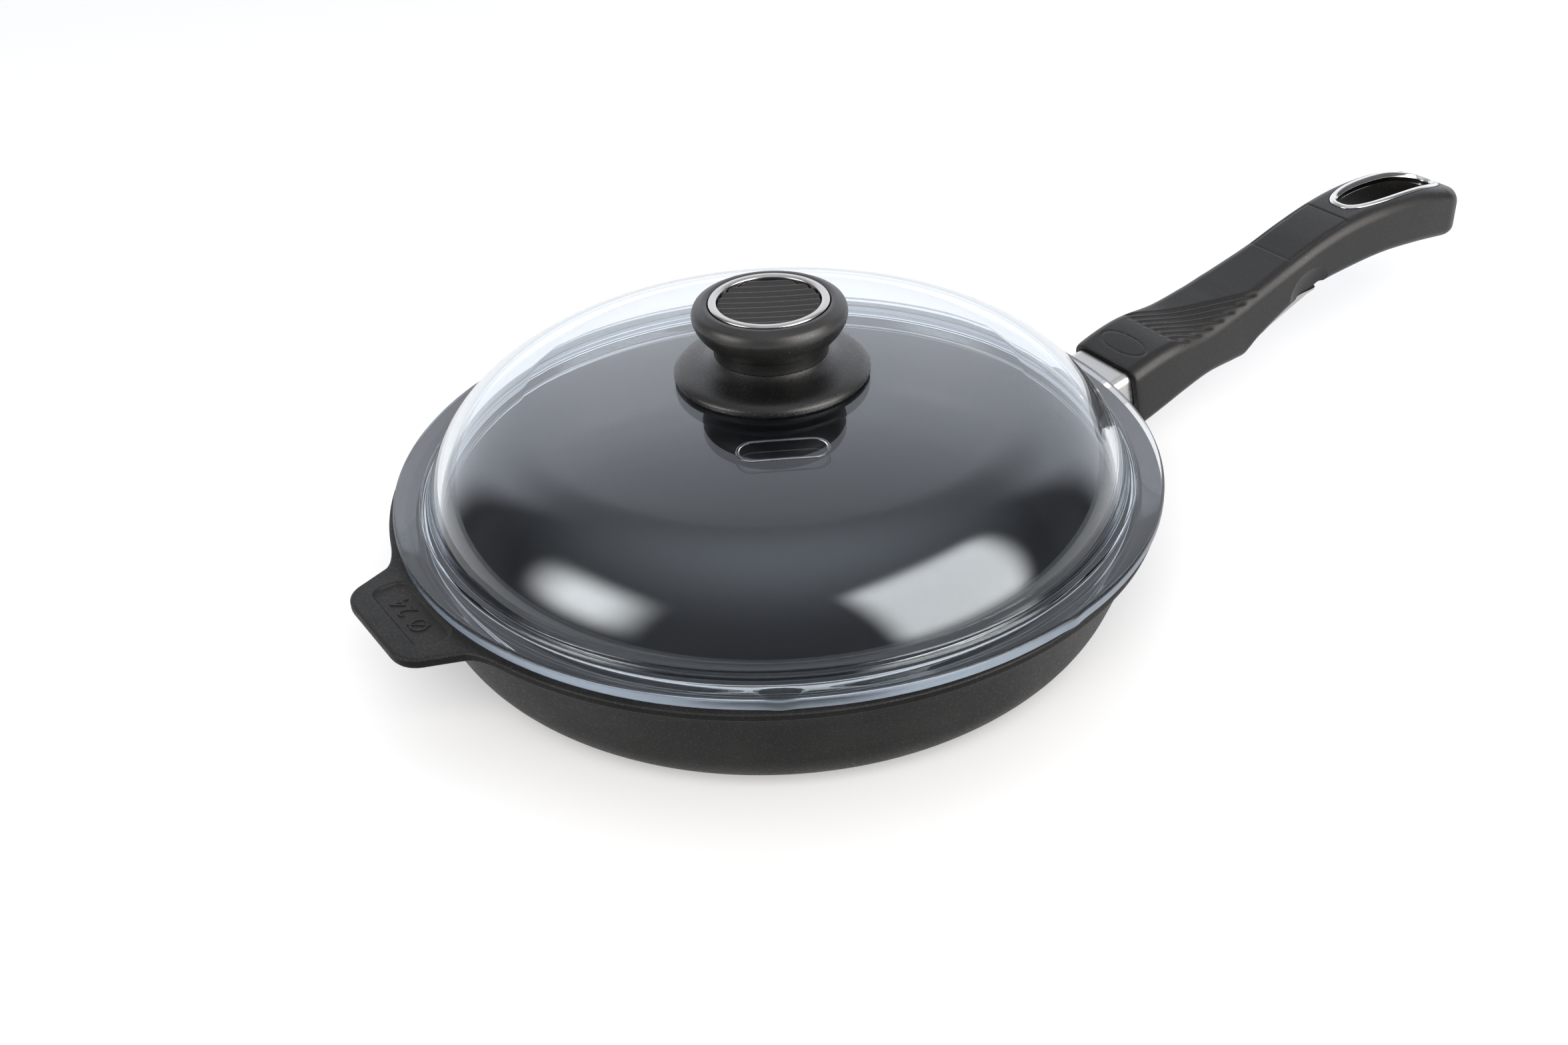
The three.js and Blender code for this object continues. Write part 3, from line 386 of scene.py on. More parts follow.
def surface(name, rows, sharp_degrees=40):
    """Mesh object over rows of points in millimetres; equal points are welded, faces turned outward."""
    grid = np.asarray(rows, float) * MM
    row_count, column_count = grid.shape[:2]
    numbers = np.arange(row_count * column_count).reshape(row_count, column_count)
    numbers = np.hstack([numbers, numbers[:, :1]])
    quads = np.stack([numbers[:-1, :-1], numbers[:-1, 1:], numbers[1:, 1:], numbers[1:, :-1]], axis=-1)
    mesh = bpy.data.meshes.new(name)
    mesh.from_pydata(grid.reshape(-1, 3).tolist(), [], quads.reshape(-1, 4).tolist())
    work = bmesh.new()
    work.from_mesh(mesh)
    bmesh.ops.remove_doubles(work, verts=work.verts, dist=2e-7)
    bmesh.ops.dissolve_degenerate(work, edges=work.edges, dist=1e-8)
    bmesh.ops.recalc_face_normals(work, faces=work.faces)
    work.to_mesh(mesh)
    work.free()
    shade(mesh, sharp_degrees)
    return placed(name, mesh)


def shade(mesh, sharp_degrees):
    """Smooth shading with creases at edges sharper than an angle."""
    mesh.polygons.foreach_set("use_smooth", [True] * len(mesh.polygons))
    mesh.set_sharp_from_angle(angle=math.radians(sharp_degrees))


def round_angles(count):
    """Evenly spaced angles of a full turn."""
    return np.linspace(0, 2 * math.pi, count, endpoint=False)


def level_ring(radius, height, angles, axis_x=0.0):
    """Ring about the upright line at axis_x; its radius and height may change on the way round."""
    heights = height * np.ones_like(angles)
    return np.stack([axis_x + radius * np.cos(angles), radius * np.sin(angles), heights], axis=-1)


def turned(name, profile, segments):
    """Body turned about the lid's axis from (radius, height) pairs."""
    angles = round_angles(segments)
    rows = [level_ring(radius, height, angles, LID_SHIFT) for radius, height in profile]
    return surface(name, rows)


def merged(name, pieces, sharp_degrees):
    """One object from several."""
    work = bmesh.new()
    for piece in pieces:
        work.from_mesh(piece.data)
        discard(piece)
    mesh = bpy.data.meshes.new(name)
    work.to_mesh(mesh)
    work.free()
    shade(mesh, sharp_degrees)
    return placed(name, mesh)


def cut(piece, cutters):
    """Piece with the cutters' room taken out of it."""
    group = bpy.data.collections.new("cutters")
    bpy.context.scene.collection.children.link(group)
    for cutter in cutters:
        bpy.context.scene.collection.objects.unlink(cutter)
        group.objects.link(cutter)
    step = piece.modifiers.new("cut", "BOOLEAN")
    step.operation = "DIFFERENCE"
    step.operand_type = "COLLECTION"
    step.collection = group
    step.solver = "EXACT"
    step.use_self = True
    graph = bpy.context.evaluated_depsgraph_get()
    result = bpy.data.meshes.new_from_object(piece.evaluated_get(graph))
    piece.modifiers.remove(step)
    old = piece.data
    piece.data = result
    bpy.data.meshes.remove(old)
    for cutter in list(group.objects):
        discard(cutter)
    bpy.data.collections.remove(group)
    shade(piece.data, 35)
    return piece


def dress(piece, body, node, slot, *materials):
    """Hang a piece on its body with its finish, in place of its CAD node if it has one."""
    piece.data.materials.clear()
    for material in materials:
        piece.data.materials.append(material)
    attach(piece, body)
    if node:
        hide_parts(node)


def tilted(points, origin, tilt):
    """Points of a frame that stands at origin (x, z) and is tilted up along its x, in the frame round it."""
    points = np.asarray(points, float)
    along, across, up = points[..., 0], points[..., 1], points[..., 2]
    x = origin[0] + along * math.cos(tilt) - up * math.sin(tilt)
    z = origin[1] + along * math.sin(tilt) + up * math.cos(tilt)
    return np.stack([x, across, z], axis=-1)


def from_handle(points):
    """Points of the handle's frame in the frame of the pan."""
    return tilted(points, STUB_ROOT, STUB_TILT)


def handle_block(low, high):
    """Block between two corners of the handle's frame."""
    (x0, y0, z0), (x1, y1, z1) = low, high
    ring = [(y0, z0), (y1, z0), (y1, z1), (y0, z1)]
    middle = ((y0 + y1) / 2, (z0 + z1) / 2)
    rows = [[(x0, *middle)] * 4, [(x0, *p) for p in ring], [(x1, *p) for p in ring], [(x1, *middle)] * 4]
    return surface("block", from_handle(rows))


def handle_turned(profile, axis, place, sides):
    """Body turned about a line along the handle (axis 0) or across it (axis 1) from (spot on it, radius)."""
    angles = round_angles(sides)
    rows = []
    for spot, radius in profile:
        ring = [place[0] + radius * np.cos(angles), place[1] + radius * np.sin(angles)]
        ring.insert(axis, np.full(sides, float(spot)))
        rows.append(np.stack(ring, axis=-1))
    return surface("turned", from_handle(rows))


def bar(radius, axis, place, start, stop, sides):
    """Round bar along the handle or across it."""
    return handle_turned([(start, 0), (start, radius), (stop, radius), (stop, 0)], axis, place, sides)


def ball(radius, centre):
    """Sphere at a place in the handle's frame."""
    lifts = np.linspace(-math.pi / 2, math.pi / 2, 81)
    profile = [(centre[1] + radius * math.sin(lift), radius * math.cos(lift)) for lift in lifts]
    return handle_turned(profile, 1, (centre[0], centre[2]), 160)


def section(half, low, high, low_radius, high_radius, count, crowding=0.0):
    """Rounded rectangle as (y, z) points from the middle of its top, evenly spaced or crowded there."""
    steps = 16
    limit = 0.98 * min(half, (high - low) / 2)
    upper = min(high_radius, limit)
    lower = min(low_radius, limit)
    path = [(0, high)]
    path += arc(half - upper, high - upper, upper, math.pi / 2, 0, steps)
    path += arc(half - lower, low + lower, lower, 0, -math.pi / 2, steps)
    path += arc(lower - half, low + lower, lower, -math.pi / 2, -math.pi, steps)
    path += arc(upper - half, high - upper, upper, math.pi, math.pi / 2, steps)
    path.append((0, high))
    path = np.array(path)
    lengths = run_lengths(path)
    shares = np.linspace(0, 1, count, endpoint=False)
    places = lengths[-1] * (shares - crowding * np.sin(2 * math.pi * shares))
    return np.stack([np.interp(places, lengths, line) for line in path.T], axis=-1)


def closed_ends(rows):
    """Rows with both ends closed to their middle points."""
    rows = [np.asarray(row, float) for row in rows]
    start = np.repeat(rows[0].mean(axis=0)[None], len(rows[0]), axis=0)
    stop = np.repeat(rows[-1].mean(axis=0)[None], len(rows[-1]), axis=0)
    return [start, *rows, stop]


# Node helpers for the materials
def node_material(name):
    """Material with its node tree and main shader."""
    material = bpy.data.materials.new(name)
    material.use_nodes = True
    tree = material.node_tree
    return material, tree, tree.nodes["Principled BSDF"]


def fed(tree, node, inputs):
    """Node whose inputs are set to plain values or linked to outputs of other nodes."""
    for name, value in inputs.items():
        if isinstance(value, bpy.types.NodeSocket):
            tree.links.new(value, node.inputs[name])
        else:
            node.inputs[name].default_value = value
    return node


def added(tree, kind, inputs):
    """Outputs of a new node with its inputs set."""
    return fed(tree, tree.nodes.new("ShaderNode" + kind), inputs).outputs


def object_place(tree):
    """Position on the piece, in metres."""
    return added(tree, "TexCoord", {})["Object"]


def noise(tree, place, scale, detail=2.0, roughness=0.5):
    """Cloudy pattern, scale in features per metre."""
    inputs = {"Vector": place, "Scale": scale, "Detail": detail, "Roughness": roughness}
    return added(tree, "TexNoise", inputs)["Fac"]


def flakes(tree, place, scale):
    """Random brightness per small cell."""
    cells = added(tree, "TexVoronoi", {"Vector": place, "Scale": scale})
    return added(tree, "SeparateColor", {"Color": cells["Color"]})["Red"]


def graded(tree, value, low, high, out_low, out_high):
    """Value moved from one range to another and held at its ends."""
    inputs = {"Value": value, "From Min": low, "From Max": high, "To Min": out_low, "To Max": out_high}
    return added(tree, "MapRange", inputs)["Result"]


def eased(tree, value, low, high, out_low, out_high):
    """Value moved from one range to another with eased ends."""
    result = graded(tree, value, low, high, out_low, out_high)
    result.node.interpolation_type = "SMOOTHSTEP"
    return result


def blended(tree, share, first, second):
    """Colour between two, by a share."""
    node = tree.nodes.new("ShaderNodeMix")
    node.data_type = "RGBA"
    return fed(tree, node, {"Factor": share, "A": (*first, 1), "B": (*second, 1)}).outputs["Result"]


def calculated(tree, operation, first, second):
    """Arithmetic on two values, either of them a plain number."""
    node = tree.nodes.new("ShaderNodeMath")
    node.operation = operation
    return fed(tree, node, {0: first, 1: second}).outputs["Value"]


def mixed(tree, first, second, share):
    """Sum of two patterns, the second with its share and the first with the rest."""
    first = calculated(tree, "MULTIPLY", first, 1 - share)
    return calculated(tree, "ADD", first, calculated(tree, "MULTIPLY", second, share))


def bumped(tree, shader, height, distance, strength=1.0):
    """Relief of a height pattern, distance in metres."""
    relief = added(tree, "Bump", {"Height": height, "Distance": distance, "Strength": strength})
    fed(tree, shader, {"Normal": relief["Normal"]})


def grained(name, dark, light, rough_low, rough_high, grain, relief, sparkle, specular):
    """Dark finish with a fine grain in features per metre, relief in metres and a share of bright flakes."""
    material, tree, shader = node_material(name)
    place = object_place(tree)
    fine = noise(tree, place, grain, 3.0, 0.6)
    cloud = noise(tree, place, grain / 60)
    tone = mixed(tree, fine, cloud, 0.3)
    glint = graded(tree, flakes(tree, place, grain * 0.9), 1 - sparkle, 1, 0, 1)
    speck = calculated(tree, "ADD", tone, calculated(tree, "MULTIPLY", glint, 0.3))
    colour = blended(tree, graded(tree, speck, 0.35, 0.75, 0, 1), dark, light)
    rough = graded(tree, tone, 0.3, 0.7, rough_high, rough_low)
    rough = calculated(tree, "SUBTRACT", rough, calculated(tree, "MULTIPLY", glint, 0.18))
    fed(tree, shader, {"Base Color": colour, "Roughness": rough, "Specular IOR Level": specular})
    bumped(tree, shader, calculated(tree, "ADD", fine, calculated(tree, "MULTIPLY", glint, 0.6)), relief)
    return material


def metal(name, colour, rough_low, rough_high, stretch, relief):
    """Bare metal with fine marks drawn out along one axis."""
    material, tree, shader = node_material(name)
    drawn = added(tree, "Mapping", {"Vector": object_place(tree), "Scale": stretch})
    marks = noise(tree, drawn["Vector"], 1.0, 4.0, 0.6)
    paler = tuple(min(1.0, c * 1.12) for c in colour)
    darker = tuple(c * 0.88 for c in colour)
    tone = blended(tree, marks, darker, paler)
    rough = graded(tree, marks, 0.25, 0.75, rough_low, rough_high)
    fed(tree, shader, {"Base Color": tone, "Roughness": rough, "Metallic": 1.0})
    bumped(tree, shader, marks, relief)
    return material


def outside_coat():
    """Sparkling black coat on the casting's outside."""
    dark, light = (0.002, 0.002, 0.002), (0.012, 0.012, 0.0118)
    return grained("coat_outside", dark, light, 0.42, 0.56, 2800, 0.00005, 0.12, 0.13)


def lit_top_coat():
    """Lighter copy of the casting's coat on the upward-facing tops of the ear and rim: painted light, for
    the light that falls on them.
    """
    dark, light = (0.009, 0.009, 0.009), (0.034, 0.034, 0.0335)
    return grained("coat_painted_lit_top", dark, light, 0.42, 0.56, 2800, 0.00005, 0.12, 0.16)


def inside_coat():
    """Smooth dark non-stick coat on the inside of the pan."""
    material, tree, shader = node_material("coat_inside")
    place = object_place(tree)
    speck = noise(tree, place, 1500, 3.0, 0.6)
    tone = mixed(tree, speck, noise(tree, place, 30), 0.4)
    share = graded(tree, tone, 0.3, 0.7, 0, 1)
    colour = blended(tree, share, (0.004, 0.0048, 0.0065), (0.007, 0.0082, 0.0105))
    rough = graded(tree, tone, 0.3, 0.7, 0.3, 0.38)
    fed(tree, shader, {"Base Color": colour, "Roughness": rough, "Specular IOR Level": 0.1})
    bumped(tree, shader, speck, 0.000008)
    return material


def base_metal():
    """Machined face under the pan, with rings round its middle."""
    material, tree, shader = node_material("base_face")
    rings = tree.nodes.new("ShaderNodeTexWave")
    rings.wave_type = "RINGS"
    rings.rings_direction = "Z"
    fed(tree, rings, {"Vector": object_place(tree), "Scale": 260, "Distortion": 0.4})
    tone = rings.outputs["Fac"]
    colour = blended(tree, tone, (0.36, 0.36, 0.37), (0.55, 0.55, 0.55))
    rough = graded(tree, tone, 0, 1, 0.3, 0.45)
    fed(tree, shader, {"Base Color": colour, "Roughness": rough, "Metallic": 1.0})
    bumped(tree, shader, tone, 0.00008)
    return material


def clear_glass():
    """Pressed glass, faintly wavy, bluish in its depth, with a dull edge round the flange that carries a
    painted dark reflection: a darker tint standing in for the black rim seen in it.
    """
    material, tree, shader = node_material("pressed_glass")
    place = object_place(tree)
    split = added(tree, "SeparateXYZ", {"Vector": place})
    across = calculated(tree, "SUBTRACT", split["X"], LID_SHIFT * MM)
    across = calculated(tree, "MULTIPLY", across, across)
    ahead = calculated(tree, "MULTIPLY", split["Y"], split["Y"])
    reach = calculated(tree, "SQRT", calculated(tree, "ADD", across, ahead), 0)
    # edge masks the flange's outer edge. It makes the glass rougher there and paints a darker tint on it, a
    # painted reflection of the black pan rim
    edge = eased(tree, reach, (FLANGE_RADIUS - 0.6) * MM, (FLANGE_RADIUS - 0.15) * MM, 0, 1)
    fed(tree, shader, {
        "Base Color": blended(tree, edge, (0.99, 0.995, 1.0), (0.14, 0.155, 0.18)),
        "Roughness": calculated(tree, "MULTIPLY", edge, 0.32),
        "Specular Tint": (0.86, 0.93, 1.0, 1),
        "Transmission Weight": 1.0,
        "IOR": 1.5,
    })
    bumped(tree, shader, noise(tree, place, 14, 1.0, 0.4), 0.0003, 0.25)
    depth = added(tree, "VolumeAbsorption", {"Color": (0.66, 0.75, 0.81, 1), "Density": 45.0})
    fed(tree, tree.nodes["Material Output"], {"Volume": depth["Volume"]})
    return material


def rubber():
    """Matt silicone."""
    dark, light = (0.05, 0.05, 0.053), (0.085, 0.085, 0.09)
    return grained("silicone_rubber", dark, light, 0.65, 0.8, 1200, 0.00004, 0.02, 0.4)


# Pan
def wall_radius(height):
    """Radius of the outer wall at a height."""
    return RIM_RADIUS - RIM_OVERHANG - (PAN_HEIGHT - RIM_HEIGHT - height) * math.tan(WALL_LEAN)


def inner_radius(height):
    """Radius of the inner wall at a height."""
    return wall_radius(height) - WALL_THICKNESS / math.cos(WALL_LEAN)


def bent(start, pull, stop, steps):
    """Points of the curve from start to stop that is drawn towards pull."""
    shares = np.linspace(0, 1, steps + 1)[:, None]
    start, pull, stop = (np.array(p, float) for p in (start, pull, stop))
    return (1 - shares) ** 2 * start + 2 * shares * (1 - shares) * pull + shares ** 2 * stop


def ear_outline():
    """Angle away from the ear's middle and radius, along half of the ear's outline and on along the rim."""
    tip = RIM_RADIUS + EAR_REACH
    shoulder = (RIM_RADIUS + EAR_SHOULDER_REACH, EAR_SHOULDER_HALF_WIDTH)
    root = (RIM_RADIUS + EAR_ROOT_REACH, EAR_ROOT_HALF_WIDTH)
    flare_x = math.sqrt(RIM_RADIUS ** 2 - EAR_FLARE_HALF_WIDTH ** 2)
    flare = (flare_x, EAR_FLARE_HALF_WIDTH)
    pull_x = flare_x + EAR_FLARE_REACH * EAR_FLARE_HALF_WIDTH / RIM_RADIUS
    pull_y = EAR_FLARE_HALF_WIDTH - EAR_FLARE_REACH * flare_x / RIM_RADIUS
    tip_corner = (tip, EAR_SHOULDER_HALF_WIDTH - EAR_CORNER_PULL)
    path = [np.array([(tip, y) for y in np.linspace(0, EAR_TIP_HALF_WIDTH, 20)])]
    path.append(bent((tip, EAR_TIP_HALF_WIDTH), tip_corner, shoulder, 40))
    path.append(bent(shoulder, ((shoulder[0] + root[0]) / 2, (shoulder[1] + root[1]) / 2), root, 20))
    path.append(bent(root, (pull_x, pull_y), flare, 40))
    path = np.vstack(path)
    return np.arctan2(path[:, 1], path[:, 0]), np.hypot(path[:, 0], path[:, 1])


def panel_drop(x, y):
    """Depth of the ear's shallow panel at a place on its top."""
    near = RIM_RADIUS - PANEL_OVERLAP
    middle = near + PANEL_LENGTH / 2
    off_x = np.abs(-x - middle) - (PANEL_LENGTH / 2 - PANEL_CORNER)
    off_y = np.abs(y) - (PANEL_HALF_WIDTH - PANEL_CORNER)
    outside = np.hypot(np.maximum(off_x, 0), np.maximum(off_y, 0)) + np.minimum(np.maximum(off_x, off_y), 0)
    return PANEL_DEPTH * smooth_step(0.1, 1.1, PANEL_CORNER - outside)


def pan_rows():
    """Grid of the casting from the middle of its floor, over the rim and ear, to the middle of its base."""
    ear_angles, ear_radii = ear_outline()
    reach = ear_angles[-1]
    fine = np.linspace(-reach, reach, 321)
    coarse = np.linspace(reach, 2 * math.pi - reach, 221)[1:-1]
    angles = np.concatenate([fine, coarse])
    from_middle = np.minimum(np.abs(angles), 2 * math.pi - np.abs(angles))
    edge = np.where(from_middle <= reach, np.interp(from_middle, ear_angles, ear_radii), RIM_RADIUS)
    slope = np.gradient(edge[:321], fine) / edge[:321]
    skew = np.ones_like(edge)
    skew[:321] = np.sqrt(1 + slope ** 2)
    is_ear = smooth_step(0.0, 4.0, edge - RIM_RADIUS)
    thickness = RIM_HEIGHT + (EAR_THICKNESS - RIM_HEIGHT) * is_ear
    rounding = RIM_ROUNDING + (EAR_ROUNDING - RIM_ROUNDING) * is_ear
    step_in = np.minimum(rounding * skew, 2.2)
    turn = angles + math.pi
    corner_height = FLOOR_THICKNESS + INNER_CORNER_RADIUS
    corner_at = inner_radius(corner_height) - INNER_CORNER_RADIUS / math.cos(WALL_LEAN)
    lip_height = PAN_HEIGHT - LIP_DEPTH
    lip = inner_radius(lip_height)
    path = [(r, FLOOR_THICKNESS) for r in (0, 20, 45, 70)]
    path += arc(corner_at, corner_height, INNER_CORNER_RADIUS, -math.pi / 2, -WALL_LEAN, 14)
    path += [(inner_radius(h), h) for h in np.linspace(30, lip_height, 5)]
    path += [(lip + 0.12, lip_height + 0.45), (lip + 0.4, lip_height + 0.8), (lip + 0.85, PAN_HEIGHT - 0.03)]
    for share in np.linspace(0, 1, 58)[1:]:
        radius = (lip + 0.9) * (1 - share) + (edge - step_in) * share
        drop = panel_drop(radius * np.cos(turn), radius * np.sin(turn))
        path.append((radius, PAN_HEIGHT - drop))
    under = PAN_HEIGHT - thickness
    quarter = [math.pi / 2 * k / 6 for k in range(7)]
    for a in quarter[1:]:
        path.append((edge - step_in * (1 - math.sin(a)), PAN_HEIGHT - rounding * (1 - math.cos(a))))
    for a in quarter:
        path.append((edge - step_in * (1 - math.cos(a)), under + rounding * (1 - math.sin(a))))
    wall_there = wall_radius(under)
    for share in np.linspace(0, 1, 10)[1:]:
        path.append(((edge - step_in) * (1 - share) + (wall_there + 0.7) * share, under))
    path += [(wall_there + 0.25, under - 0.2), (wall_there, under - 0.7)]
    corner_top = CORNER_RADIUS * (1 - math.sin(WALL_LEAN))
    path += [(wall_radius(h), h) for h in np.linspace(PAN_HEIGHT - 5.5, corner_top, 9)[:-1]]
    base_radius = wall_radius(corner_top) - CORNER_RADIUS * math.cos(WALL_LEAN)
    path += arc(base_radius, CORNER_RADIUS, CORNER_RADIUS, -WALL_LEAN, -math.pi / 2, 18)
    path += [(r, 0) for r in (base_radius - 0.4, base_radius - 4, 60, 30, 0)]
    return [level_ring(radius, height, turn) for radius, height in path]


def pan_lug():
    """Block on the wall that carries the stub."""
    half = STUB_HALF_WIDTH + LUG_WALL
    high = STUB_HALF_HEIGHT + LUG_WALL
    rows = []
    for place, inset in ((-LUG_DEPTH, 0), (-1.2, 0), (-0.5, 0.2), (-0.1, 0.7), (0, 1.2)):
        ring = section(half - inset, inset - high, high - inset, STUB_EDGE_RADIUS, STUB_EDGE_RADIUS, 120)
        rows.append([(place, y, z) for y, z in ring])
    return surface("lug", from_handle(closed_ends(rows)))


def make_pan(outside, inside, base, ear):
    """Casting with the inside coat in the bowl, bare metal on the base and painted light on the ear and rim:
    a lighter copy of the coat on their upward-facing tops.
    """
    lug = cut(pan_lug(), [stub_form(-LUG_POCKET, STUB_LENGTH)])
    pan = merged("pan_casting", [surface("bowl", pan_rows(), 50), lug], 50)
    dress(pan, "pan", "pan_body", "coated_casting", outside, inside, base, ear)
    lip = inner_radius(PAN_HEIGHT - LIP_DEPTH) + 0.6
    for face in pan.data.polygons:
        middle = face.center / MM
        away = math.hypot(middle.x, middle.y)
        if middle.z < 0.01 and face.normal.z < -0.9:
            face.material_index = 2
        elif away < lip and middle.z > FLOOR_THICKNESS - 0.1 and away < inner_radius(middle.z) + 1.5:
            face.material_index = 1
        # Upward-facing faces at the top of rim and ear take the lighter coat: painted light
        elif middle.z > PAN_HEIGHT - LIT_TOP_DEPTH and face.normal.z > 0.3:
            face.material_index = 3


def size_number(material):
    """Plain size number raised in the ear's panel."""
    text = bpy.data.curves.new("ear_number", "FONT")
    text.body = "\u00d8 24"
    text.size = NUMBER_SIZE * MM
    text.extrude = NUMBER_RISE * MM
    text.offset = -NUMBER_EDGE * MM
    text.bevel_depth = NUMBER_EDGE * MM
    text.space_character = 1.15
    text.space_word = 0.8
    text.bevel_resolution = 1
    text.align_x = "CENTER"
    text.align_y = "CENTER"
    number = placed("ear_number", text)
    place = (RIM_RADIUS - PANEL_OVERLAP + PANEL_LENGTH / 2) * -MM
    height = (PAN_HEIGHT - PANEL_DEPTH) * MM
    number.matrix_world = Matrix.Translation((place, 0.0, height)) @ Matrix.Rotation(math.pi / 2, 4, "Z")
    bpy.context.view_layer.update()
    graph = bpy.context.evaluated_depsgraph_get()
    mesh = bpy.data.meshes.new_from_object(number.evaluated_get(graph))
    mesh.transform(number.matrix_world)
    bpy.data.objects.remove(number)
    bpy.data.curves.remove(text)
    shade(mesh, 40)
    dress(placed("ear_number", mesh), "pan", None, "coated_casting", material)


# Stub
def stub_top(place):
    """Height of the stub's top: level to the handle's mouth, then falling to its end."""
    share = max(0.0, place - HANDLE_FRONT) / (STUB_LENGTH - HANDLE_FRONT)
    return STUB_HALF_HEIGHT - STUB_TOP_TAPER * share


def stub_ring(place, grow, inset=0.0):
    """Section of the stub at a place along it."""
    edge = max(STUB_EDGE_RADIUS + grow - inset, 0.5)
    half = STUB_HALF_WIDTH + grow - inset
    low = inset - STUB_HALF_HEIGHT - grow
    high = stub_top(place) + grow - inset
    return [(place, y, z) for y, z in section(half, low, high, edge, edge, 120)]


def stub_form(start, stop):
    """Room that the stub takes between two places, with the socket's gap round it."""
    rows = [stub_ring(place, SOCKET_GAP) for place in (start, HANDLE_FRONT, stop)]
    return surface("stub_room", from_handle(closed_ends(rows)))


def make_stub(material):
    """Bare metal stub with its screw bores, the catch's notch and eased end edges."""
    places = [(0.2 - LUG_POCKET, 0), (HANDLE_FRONT, 0), (STUB_LENGTH - 1, 0)]
    places += [(STUB_LENGTH - 0.3, 0.3), (STUB_LENGTH, 1.0)]
    rows = [stub_ring(place, 0, inset) for place, inset in places]
    stub = surface("stub", from_handle(closed_ends(rows)))
    cutters = []
    for side in (-SCREW_SPREAD, SCREW_SPREAD):
        place = (side, SCREW_HEIGHT)
        cutters.append(bar(SCREW_RADIUS + SCREW_GAP, 0, place, -5, SCREW_SEAT + 1, 48))
        cutters.append(bar(SCREW_HEAD_RADIUS + SCREW_GAP, 0, place, SCREW_SEAT, STUB_LENGTH + 2, 48))
    low = (NOTCH[0], -NOTCH_HALF_WIDTH, -STUB_HALF_HEIGHT - 1)
    cutters.append(handle_block(low, (NOTCH[1], NOTCH_HALF_WIDTH, NOTCH_DEPTH - STUB_HALF_HEIGHT)))
    cut(stub, cutters)
    dress(stub, "pan", "handle_stub", "bare_aluminium", material)


# Handle
TOP_LINE = [station[0] for station in HANDLE_STATIONS]
BOTTOM_LINE = [station[1] for station in HANDLE_STATIONS]
WIDTH_LINE = [(i, station[2]) for i, station in enumerate(HANDLE_STATIONS)]
TOP_SAMPLES = np.array(smooth_curve(TOP_LINE, 400))


def handle_top(place):
    """Height of the handle's top line at a place along it."""
    samples = np.vstack([TOP_SAMPLES, HANDLE_END_TOP])
    return np.interp(place, samples[:, 0], samples[:, 1])


def rib_drop(along, across, half):
    """Depth of the diagonal thumb grooves at a place on the handle's top, with the half width there."""
    hook = RIB_HOOK * np.maximum(0, -RIB_HOOK_FROM - across) ** 2
    phase = across + hook + RIB_SHOULDER + RIB_SLOPE * (along - RIB_FRONT)
    number = phase / (RIB_SLOPE * RIB_PITCH)
    from_groove = 2 * np.abs(number - np.round(number))
    field = smooth_step(0.5, 0.8, number) * (1 - smooth_step(RIB_COUNT + 0.2, RIB_COUNT + 0.5, number))
    fade = smooth_step(RIB_FRONT - 1, RIB_FRONT + 2.5, along) * smooth_step(0.7, 3.6, half + across)
    return RIB_DEPTH * field * fade * (1 - from_groove) ** 2


def label_drop(along, across):
    """Depth of the plain label panel on the handle's top, framed by a fine groove."""
    middle = (LABEL_FROM + LABEL_TO) / 2
    past_end = np.abs(along - middle) - (LABEL_TO - LABEL_FROM) / 2
    past_edge = np.maximum(past_end, np.abs(across) - LABEL_HALF_WIDTH)
    line = np.clip(1 - np.abs(past_edge) / LABEL_LINE_HALF_WIDTH, 0, 1)
    return np.where(past_edge < 0, LABEL_DEPTH, 0.0) * (1 - line) + LABEL_LINE_DEPTH * line


def badge_drop(along, across):
    """Depth of the fine oval line round the bare badge place behind the handle's mouth."""
    share = np.hypot((along - BADGE_PLACE) / BADGE_HALF_LENGTH, across / BADGE_HALF_WIDTH)
    return BADGE_LINE_DEPTH * np.clip(1 - np.abs(share - 1) / BADGE_LINE_SHARE, 0, 1)


def handle_ring(top, bottom, half, inset):
    """Ring of the handle's skin between a top and a bottom point, with its top's grooves and lines."""
    up = (top - bottom) / np.linalg.norm(top - bottom)
    middle = (top + bottom) / 2
    reach = np.linalg.norm(top - bottom) / 2 - inset
    ring = section(half, -reach, reach, BOTTOM_EDGE_RADIUS, TOP_EDGE_RADIUS, SKIN_POINTS, SKIN_CROWDING)
    along = middle[0] + up[0] * ring[:, 1]
    height = middle[1] + up[1] * ring[:, 1]
    on_top = smooth_step(reach - 4.8, reach - 3.2, ring[:, 1])
    across = ring[:, 0]
    drop = on_top * (rib_drop(along, across, half) + label_drop(along, across) + badge_drop(along, across))
    return np.stack([along - up[0] * drop, across, height - up[1] * drop], axis=-1)


